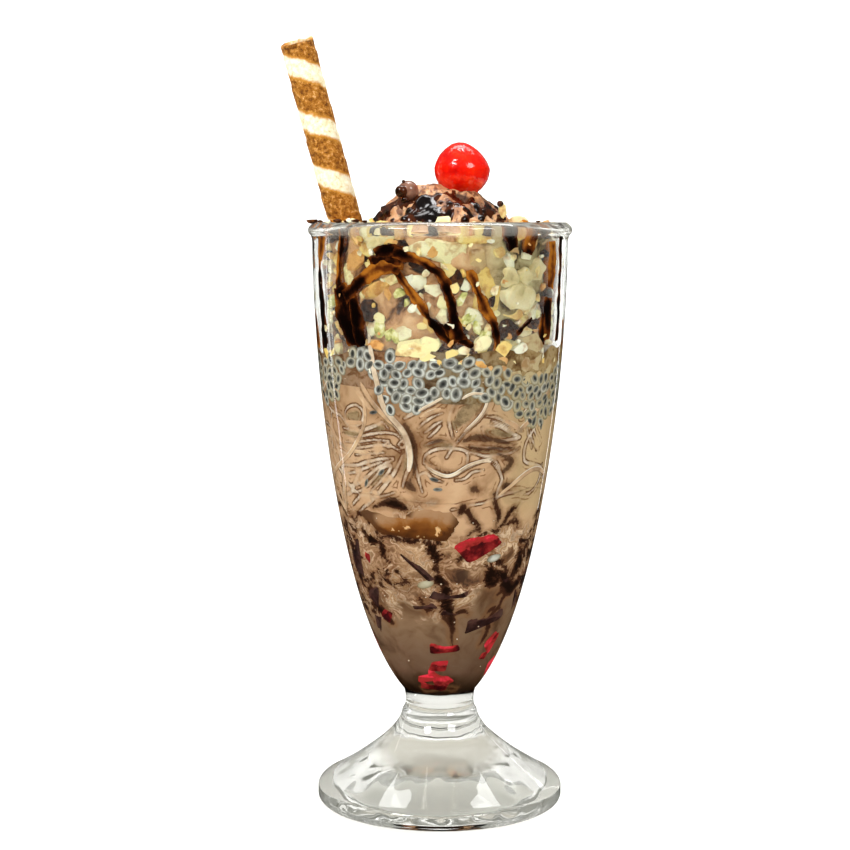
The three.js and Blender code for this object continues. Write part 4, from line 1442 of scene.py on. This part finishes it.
def syrup(name, shine, deep, mid, thin):
    """Chocolate syrup is a thick sugar syrup: black where deep, amber where thin."""
    finish, place = new_finish(name)
    thickness = 0.3 * stored(finish, "side") + grain(place, 8, 5.0, 0.6)
    thickness += 0.2 * above(stored(finish, "film"), -1.5, 1.0)
    colour = ramp(thickness, (0.56, "080201"), (0.66, deep), (0.78, mid), (0.94, thin))
    return body(finish, colour, 0.1, {"IOR": 1.47, "Specular IOR Level": shine})


drip_syrup = syrup("chocolate_syrup_on_glass", 0.0, "200B04", "5E2C0E", "B06A22")
piece("syrup_drips", drip_mesh, drip_syrup)

# %% [markdown]
# ## The scoop, its sauce and its pearl
# The scoop is a rough ball of chocolate ice cream. The steel of a scoop drags over the frozen
# cream and leaves crags and ridges, which ridged noise gives. Syrup poured over it fills the
# hollows and runs over the crags: a second skin lies over the ball where it was poured at the
# front, and where a noise says so at the back, and dips under it elsewhere.

# %% The ball's shape
SCOOP_RADIUS = 28
SCOOP_CENTRE = Vector((0, 0, 181.3))


def crag(direction):
    """How far the ball's surface stands out, in millimetres."""
    broad = noise.noise(direction * 2.6 + Vector((3, 8, 1)))
    ridges = noise.ridged_multi_fractal(direction * 3.4 + Vector((9, 2, 5)), 1.0, 2.1, 4, 1.0, 2.0)
    fine = noise.noise(direction * 17)
    return 1.5 * broad + 1.7 * (ridges - 1.2) + 0.4 * fine


# where sauce was poured on the front: x, z and half width
POURED = [
    (-5, 201.5, 3.8), (-3.5, 198.8, 4.2), (-7, 198.4, 3), (-11.5, 203.6, 1.3), (-13.5, 203, 1.1),
    (-16, 201.8, 1.1), (-18.3, 200.4, 1.2), (-20.5, 198.8, 1.5), (-23, 197.4, 2), (-10.6, 200, 0.8),
    (-12, 197.4, 1), (0.5, 203.2, 0.9), (3, 202.4, 1.3), (5.5, 201.8, 1.3), (2.8, 199, 1.5),
    (8, 200.6, 1.3), (9.5, 199, 1.3), (8.2, 197.4, 1.6), (12, 202, 0.9), (12.8, 200, 0.9), (13.6, 198, 1),
    (15, 200.5, 1.2), (18, 200, 0.9), (20.5, 198, 1.4), (2, 206.4, 1), (4.5, 205.4, 1), (-16, 197, 0.8),
    (-1, 205, 1.1), (6.5, 204.2, 1), (-19.5, 201.8, 1.1), (10.5, 203.6, 1), (16.5, 202, 1.1),
    (-8.6, 205.4, 0.9)]


def sauce_cover(direction):
    """Above 0 where sauce lies: on the front where it was poured, and at the back where a noise says."""
    stretched = Vector((direction.x * 3.1, direction.y * 3.1, direction.z * 1.6))
    wild = noise.noise(stretched + Vector((4, 1, 7))) + 0.45 * noise.noise(direction * 9)
    front = min(max(0.5 - 2 * direction.y, 0), 1)
    if front == 0:
        return wild
    spot = SCOOP_CENTRE + SCOOP_RADIUS * direction
    poured = max(size - math.hypot(spot.x - x, spot.z - z) for x, z, size in POURED)
    ragged = 0.25 * noise.noise(direction * 9) + 0.15 * noise.noise(direction * 22)
    return wild + (0.25 * max(poured, -2.5) + ragged - wild) * front


def bare_ball(direction):
    return 0, crag(direction)


def sauce_skin(direction):
    cover_here = sauce_cover(direction)
    stand = max(-1.3, min(0.5, cover_here * 3)) + 0.15 * noise.noise(direction * 14)
    return stand + 0.15 - 0.35 * crag(direction), 1 - max(0.0, min(1.0, cover_here * 3))


def ball(skin, lowest):
    """The ball above a height. Its skin says how far each point stands out, and what it stores."""
    bm = icosphere(6)
    side = bm.verts.layers.float.new("side")
    for vert in bm.verts:
        direction = vert.co.copy()
        stand, vert[side] = skin(direction)
        vert.co = SCOOP_CENTRE + direction * (SCOOP_RADIUS - 0.9 + crag(direction) + stand)
    return cut_away(bm, (0, 0, lowest), (0, 0, -1))


def scooped_ice_cream():
    """Painted shade darkens its creases and fine cracks, and it has a grain of ice."""
    finish, place = new_finish("scooped_chocolate_ice_cream")
    cloud = grain(swirl(place, 9, 5), 9, 5.0, 0.6)
    colour = ramp(cloud, (0.3, "5A3420"), (0.42, "A8744E"), (0.52, "D39C6C"), (0.64, "E0B386"),
                  (0.78, "C98F62"))
    # painted shade in creases and fine cracks, placed by noise
    painted_crease_shade = below(stored(finish, "side") + 1.2 * cloud, -0.3, 0.35)
    colour = blend(0.9 * painted_crease_shade, colour, "3E1E10")
    cracks = ramp(grain(swirl(place, 4, 3), 2.4, 4.0, 0.6), (0.4, "6E4026"), (0.47, "FFFFFF"))
    colour = blend(0.8, colour, cracks, "MULTIPLY")
    return body(finish, colour, 0.35, {"Normal": relief(grain(place, 1.3, 5.0, 0.6), 0.5)}, 0.2, (3, 1.8, 1))


piece("ice_cream_scoop", ball(bare_ball, 171), scooped_ice_cream(), ["ice_cream"])
sauce = syrup("chocolate_sauce_on_scoop", 0.35, "0C0402", "1E0C05", "4A2412")
piece("scoop_sauce", ball(sauce_skin, 172), sauce)


# %% The chocolate pearl, and drops of sauce round it
def beads(*rows):
    """Balls of a radius at a spot."""
    bm = bmesh.new()
    for radius, *spot in rows:
        verts = bmesh.ops.create_uvsphere(bm, u_segments=32, v_segments=20, radius=radius)["verts"]
        bmesh.ops.translate(bm, vec=spot, verts=verts)
    return bm


def chocolate_pearl():
    finish, place = new_finish("chocolate_pearl")
    colour = ramp(grain(place, 3), (0.35, "7A5240"), (0.6, "946A56"))
    return body(finish, colour, 0.22, {"Coat Weight": 0.3})


piece("chocolate_pearl", beads((3.4, -10.5, -10, 206.2)), chocolate_pearl())
drops = beads((2.1, -12.7, -12.4, 206), (1.3, -11.5, -12.6, 203.2), (0.6, -12, -11.4, 209.2),
              (1.1, 19.7, -9, 202))
piece("sauce_drops", mark_side(drops), sauce)

# %% [markdown]
# A few crumbs have fallen on the rim, and some nuts stand up behind it. They are the same
# chopped pieces as in the glass, with no wall to be pressed on.

# %% Crumbs and nuts on the rim
# x, y, z and size
RIM_BITS = [
    (-42, -8, 196.4, 4.2), (-39, -16, 196.2, 2.6), (-33, -27, 196.4, 3), (-30, -30, 196.3, 2.6),
    (-27, -33, 196.5, 3.4), (-24, -35, 196.2, 2.4), (-36, -22, 196.2, 2), (19, -37, 196.1, 2),
    (31, -29, 196.2, 2)]
# x, y, z, width, height and tint
RIM_NUTS = [(1, -34, 195, 7, 7, 0.3), (20.5, -9, 199.6, 3, 6, 0.4), (-36, -24, 196.3, 2.2, 1.4, 0.1),
            (-29, -31.5, 196.6, 2.4, 1.5, 0.1), (10, -34, 195, 6, 4, 0.3), (25, -22, 196, 8, 5, 0.25)]
flake_rng = random.Random(61)
flake_mesh = bmesh.new()
for *spot, size in RIM_BITS:
    toss(flake_mesh, flake_rng, Matrix.Translation(spot), (size, size * 0.6, size * 0.45))
piece("crumbs_on_rim", flake_mesh, crumb_finish)
poking = blank("tint")
for *spot, wide, tall, tint in RIM_NUTS:
    tinted(poking, toss(poking, flake_rng, Matrix.Translation(spot), (wide, wide * 0.6, tall)), tint)
piece("nuts_above_rim", poking, nut_finish, sharp=NUT_EDGE)

# %% [markdown]
# ## The cherry
# A candied cherry has lost its stone and been soaked in sugar. Its skin is a clear bright red,
# finely dimpled, and sticky enough to mirror the lamps. It is a ball drawn in towards the top.

# %% Cherry
cherry_low, cherry_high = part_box("cherry")
CHERRY_CENTRE = ((cherry_low + cherry_high) / 2 - AXIS) / MM
CHERRY_SIZE = (cherry_high - cherry_low) / MM
cherry_mesh = uvsphere(96, 64)
for vert in cherry_mesh.verts:
    direction = vert.co.copy()
    dimple = 0.012 * noise.noise(direction * 9) + 0.006 * noise.noise(direction * 24)
    narrow = 1.03 - 0.22 * max(direction.z, 0) ** 1.3 - 0.04 * min(direction.z, 0) ** 2
    wide = narrow * (1 + dimple)
    vert.co = Vector((direction.x * wide * CHERRY_SIZE.x / 2 - 0.7 * max(direction.z, 0),
                      direction.y * wide * CHERRY_SIZE.y / 2,
                      direction.z * (1 + dimple) * CHERRY_SIZE.z / 2 - 0.7)) + CHERRY_CENTRE


def candied_cherry():
    """Dimples in the skin, and softer ones in the sugar over it."""
    finish, place = new_finish("candied_cherry")
    colour = ramp(grain(place, 6), (0.3, "C80802"), (0.5, "EE1602"), (0.75, "FF3004"))
    return body(finish, colour, 0.3, {
        "Specular IOR Level": 0.05, "Coat Weight": 0.8, "Coat Roughness": 0.02,
        "Normal": relief(grain(place, 1.5, 4.0, 0.6), 0.25),
        "Coat Normal": relief(grain(place, 2.2), 0.15)}, 0.3, (4, 0.4, 0.2))


piece("candied_cherry", cherry_mesh, candied_cherry(), ["cherry"])

# %% [markdown]
# ## The wafer roll
# A thin batter with a brown stripe piped on it is baked and rolled at a slant while hot. The
# stripe then runs round the roll as a spiral, and each turn overlaps the last with a small
# ledge. A tube is built from rings, the ledge and the brittle broken end are pushed into it,
# and the place in the stripe is stored on the mesh. Fine streaks follow the stripe.

# %% Wafer
WAFER_RADIUS = 5.7
WAFER_BORE = 3.6
WAFER_LENGTH = 97
WAFER_TILT = math.radians(15)
WAFER_PITCH = 18.5
RING = 0.75
BORE_DEPTH = 44
wafer_low, wafer_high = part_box("wafer_roll")
WAFER_TOP = Vector(((wafer_low.x - AXIS.x) / MM + WAFER_RADIUS * math.cos(WAFER_TILT), 0,
                    wafer_high.z / MM - WAFER_RADIUS * math.sin(WAFER_TILT)))
rings = int(WAFER_LENGTH / RING)
end = rings * RING
outline = [(0, 0)] + [(WAFER_RADIUS, i * RING) for i in range(rings + 1)]
outline += [(WAFER_RADIUS - 0.5, end + 0.25), (WAFER_BORE, end - 0.2)]
outline += [(WAFER_BORE, end - 1.5 * i) for i in range(1, 30)] + [(0, end - BORE_DEPTH)]
wafer_mesh = turned(outline, 72)
stripe = wafer_mesh.verts.layers.float.new("stripe")
for vert in wafer_mesh.verts:
    radius = math.hypot(vert.co.x, vert.co.y)
    angle = math.atan2(vert.co.y, vert.co.x)
    phase = vert.co.z / WAFER_PITCH + angle / math.tau
    vert[stripe] = 0.5 + 0.5 * math.cos(math.tau * (phase + 0.09))
    if radius < 0.01:
        continue
    ledge = 0.32 * ((2 * phase + 0.1) % 1)
    rough = 0.12 * noise.noise(Vector((vert.co.x / 2.4, vert.co.y / 2.4, vert.co.z / 3.5)))
    move_out(vert, rough + (ledge if radius > WAFER_RADIUS - 0.6 else -ledge) - 0.3)
    if radius < WAFER_BORE + 0.3 and vert.co.z > WAFER_LENGTH / 2:
        vert[stripe] = 0.26
    if vert.co.z > end - 1:
        broken = noise.noise(Vector((math.cos(angle) * 2.2, math.sin(angle) * 2.2, radius / 2)))
        vert.co.z += 0.7 * broken - 0.8 + 1.5 * math.sin(angle)
lean = Matrix.Rotation(-WAFER_TILT, 4, "Y")
wafer_mesh.transform(Matrix.Translation(WAFER_TOP) @ lean @ Matrix.Translation((0, 0, -WAFER_LENGTH)))


def baked_wafer():
    """Cream between the stripes, honey at their edges, and streaky brown in them."""
    finish, place = new_finish("baked_rolled_wafer")
    across = stored(finish, "stripe")
    toast = grain(place, 1.4, 5.0, 0.7)
    streaks = grain(place, 5, 3.0, 0.6, W=9 * across)
    # the palest stop of the brown ramp makes small painted highlights in the stripe
    brown = ramp(0.5 * toast + 0.5 * streaks, (0.4, "4A2603"), (0.47, "8A5008"), (0.53, "B8741A"),
                 (0.6, "E6B05C"), (0.65, "FFF3D0"))
    cream = ramp(toast, (0.3, "C9AE74"), (0.42, "F3E6B8"), (0.6, "FFFBE4"))
    edge = across + 0.5 * (grain(place, 3.2, 4.0, 0.6) - 0.5)
    honey = blend(above(edge, 0.16, 0.36), cream, "CC8E34")
    colour = blend(above(edge, 0.3, 0.52), honey, brown)
    return body(finish, colour, 0.6, {"Specular IOR Level": 0.2, "Normal": relief(toast, 0.3)},
                0.05, (2, 1, 0.6))


piece("rolled_wafer", wafer_mesh, baked_wafer(), ["wafer_roll"])

# %% [markdown]
# ## The studio
# The camera looks slightly down on a glass on a sweep of pale paper, so that no horizon shows.
# A square lamp over each shoulder lights the drink, and narrow strips behind edge the glass.

# %% The view, the floor and the lights
scene = bpy.context.scene
camera_data = bpy.data.cameras.new("view")
camera_data.sensor_width = 36
camera_data.lens = 80.1
camera = bpy.data.objects.new("view", camera_data)
camera.location = (AXIS.x - 0.0050, AXIS.y - 0.6343, glass_high.z)
camera.rotation_euler = (math.radians(90 - 6.12), 0, 0)
scene.collection.objects.link(camera)
scene.camera = camera

sweep = bmesh.new()
bmesh.ops.create_grid(sweep, x_segments=1, y_segments=40, size=1)
for vert in sweep.verts:
    run = (vert.co.y + 1) / 2
    bend = max(0, run - 0.55) / 0.45
    vert.co = (vert.co.x * 3, -1.6 + 3.6 * run - 0.9 * bend ** 2, 1.9 * bend ** 2)
paper = bpy.data.materials.new("pale_paper")
paper.use_nodes = True
sheet = paper.node_tree.nodes["Principled BSDF"].inputs
sheet["Base Color"].default_value = srgb("F4F3F1")
sheet["Roughness"].default_value = 0.9
backdrop = as_object("studio_floor", sweep, paper)
backdrop.visible_glossy = False


def softbox(name, place, wide, tall, power, target=(0, 0, 0.12)):
    """A rectangular lamp that faces its target."""
    data = bpy.data.lights.new(name, "AREA")
    data.shape = "RECTANGLE"
    data.size, data.size_y = wide, tall
    data.energy = power
    lamp = bpy.data.objects.new(name, data)
    lamp.location = place
    lamp.rotation_euler = (Vector(target) - lamp.location).to_track_quat("-Z", "Y").to_euler()
    scene.collection.objects.link(lamp)


softbox("key_box", (-0.75, -0.85, 1.15), 0.4, 0.4, 15.5)
softbox("front_fill", (0.75, -0.95, 0.95), 0.45, 0.45, 7)
softbox("top_box", (0.1, 0.15, 1.5), 0.35, 0.35, 7)
softbox("left_strip", (-0.55, 0.33, 0.25), 0.03, 0.7, 0.16)
softbox("right_strip", (0.42, 0.62, 0.25), 0.03, 0.7, 0.16)
softbox("back_wash", (0.0, 0.5, 1.3), 1.2, 0.5, 12, (0, 1.2, 0.3))
print("lamps:", len(bpy.data.lights))

# %% [markdown]
# A studio keeps the room dark round a glass, and has a polariser in front of the lens, so that
# no haze lies over what is in it. The air does the same here: it lights matt surfaces softly,
# and shows dark in reflections.

# %% The air of the studio
world = bpy.data.worlds.new("studio_air")
world.use_nodes = True
sky = world.node_tree
sky.nodes.clear()
rays = add("ShaderNodeLightPath", tree=sky).outputs
around = add("ShaderNodeTexCoord", tree=sky).outputs["Generated"]
up = coordinate(around, "Z")
ceiling = ramp(up, (0.12, "1C1D1C"), (0.5, "5A5C5A"), (0.95, "8A8C8A"))
walls = ramp(up, (0.1, "9A9C98"), (0.6, "DCDDDA"))
soft, mirrored, through, seen = [
    add("ShaderNodeBackground", {"Color": colour, "Strength": strength}, sky).outputs[0]
    for colour, strength in [("F4F4F4", 0.42), (ceiling, 1.0), (walls, 0.8), ("FFFFFF", 1.0)]]
inside_glass = worked_out("GREATER_THAN", rays["Transmission Depth"], 0.5)
air = cover(rays["Is Glossy Ray"], soft, cover(inside_glass, mirrored, through))
air = cover(rays["Is Transmission Ray"], air, through)
air = cover(rays["Is Camera Ray"], air, seen)
add("ShaderNodeOutputWorld", {"Surface": air})
scene.world = world
scene.view_settings.view_transform = "Standard"
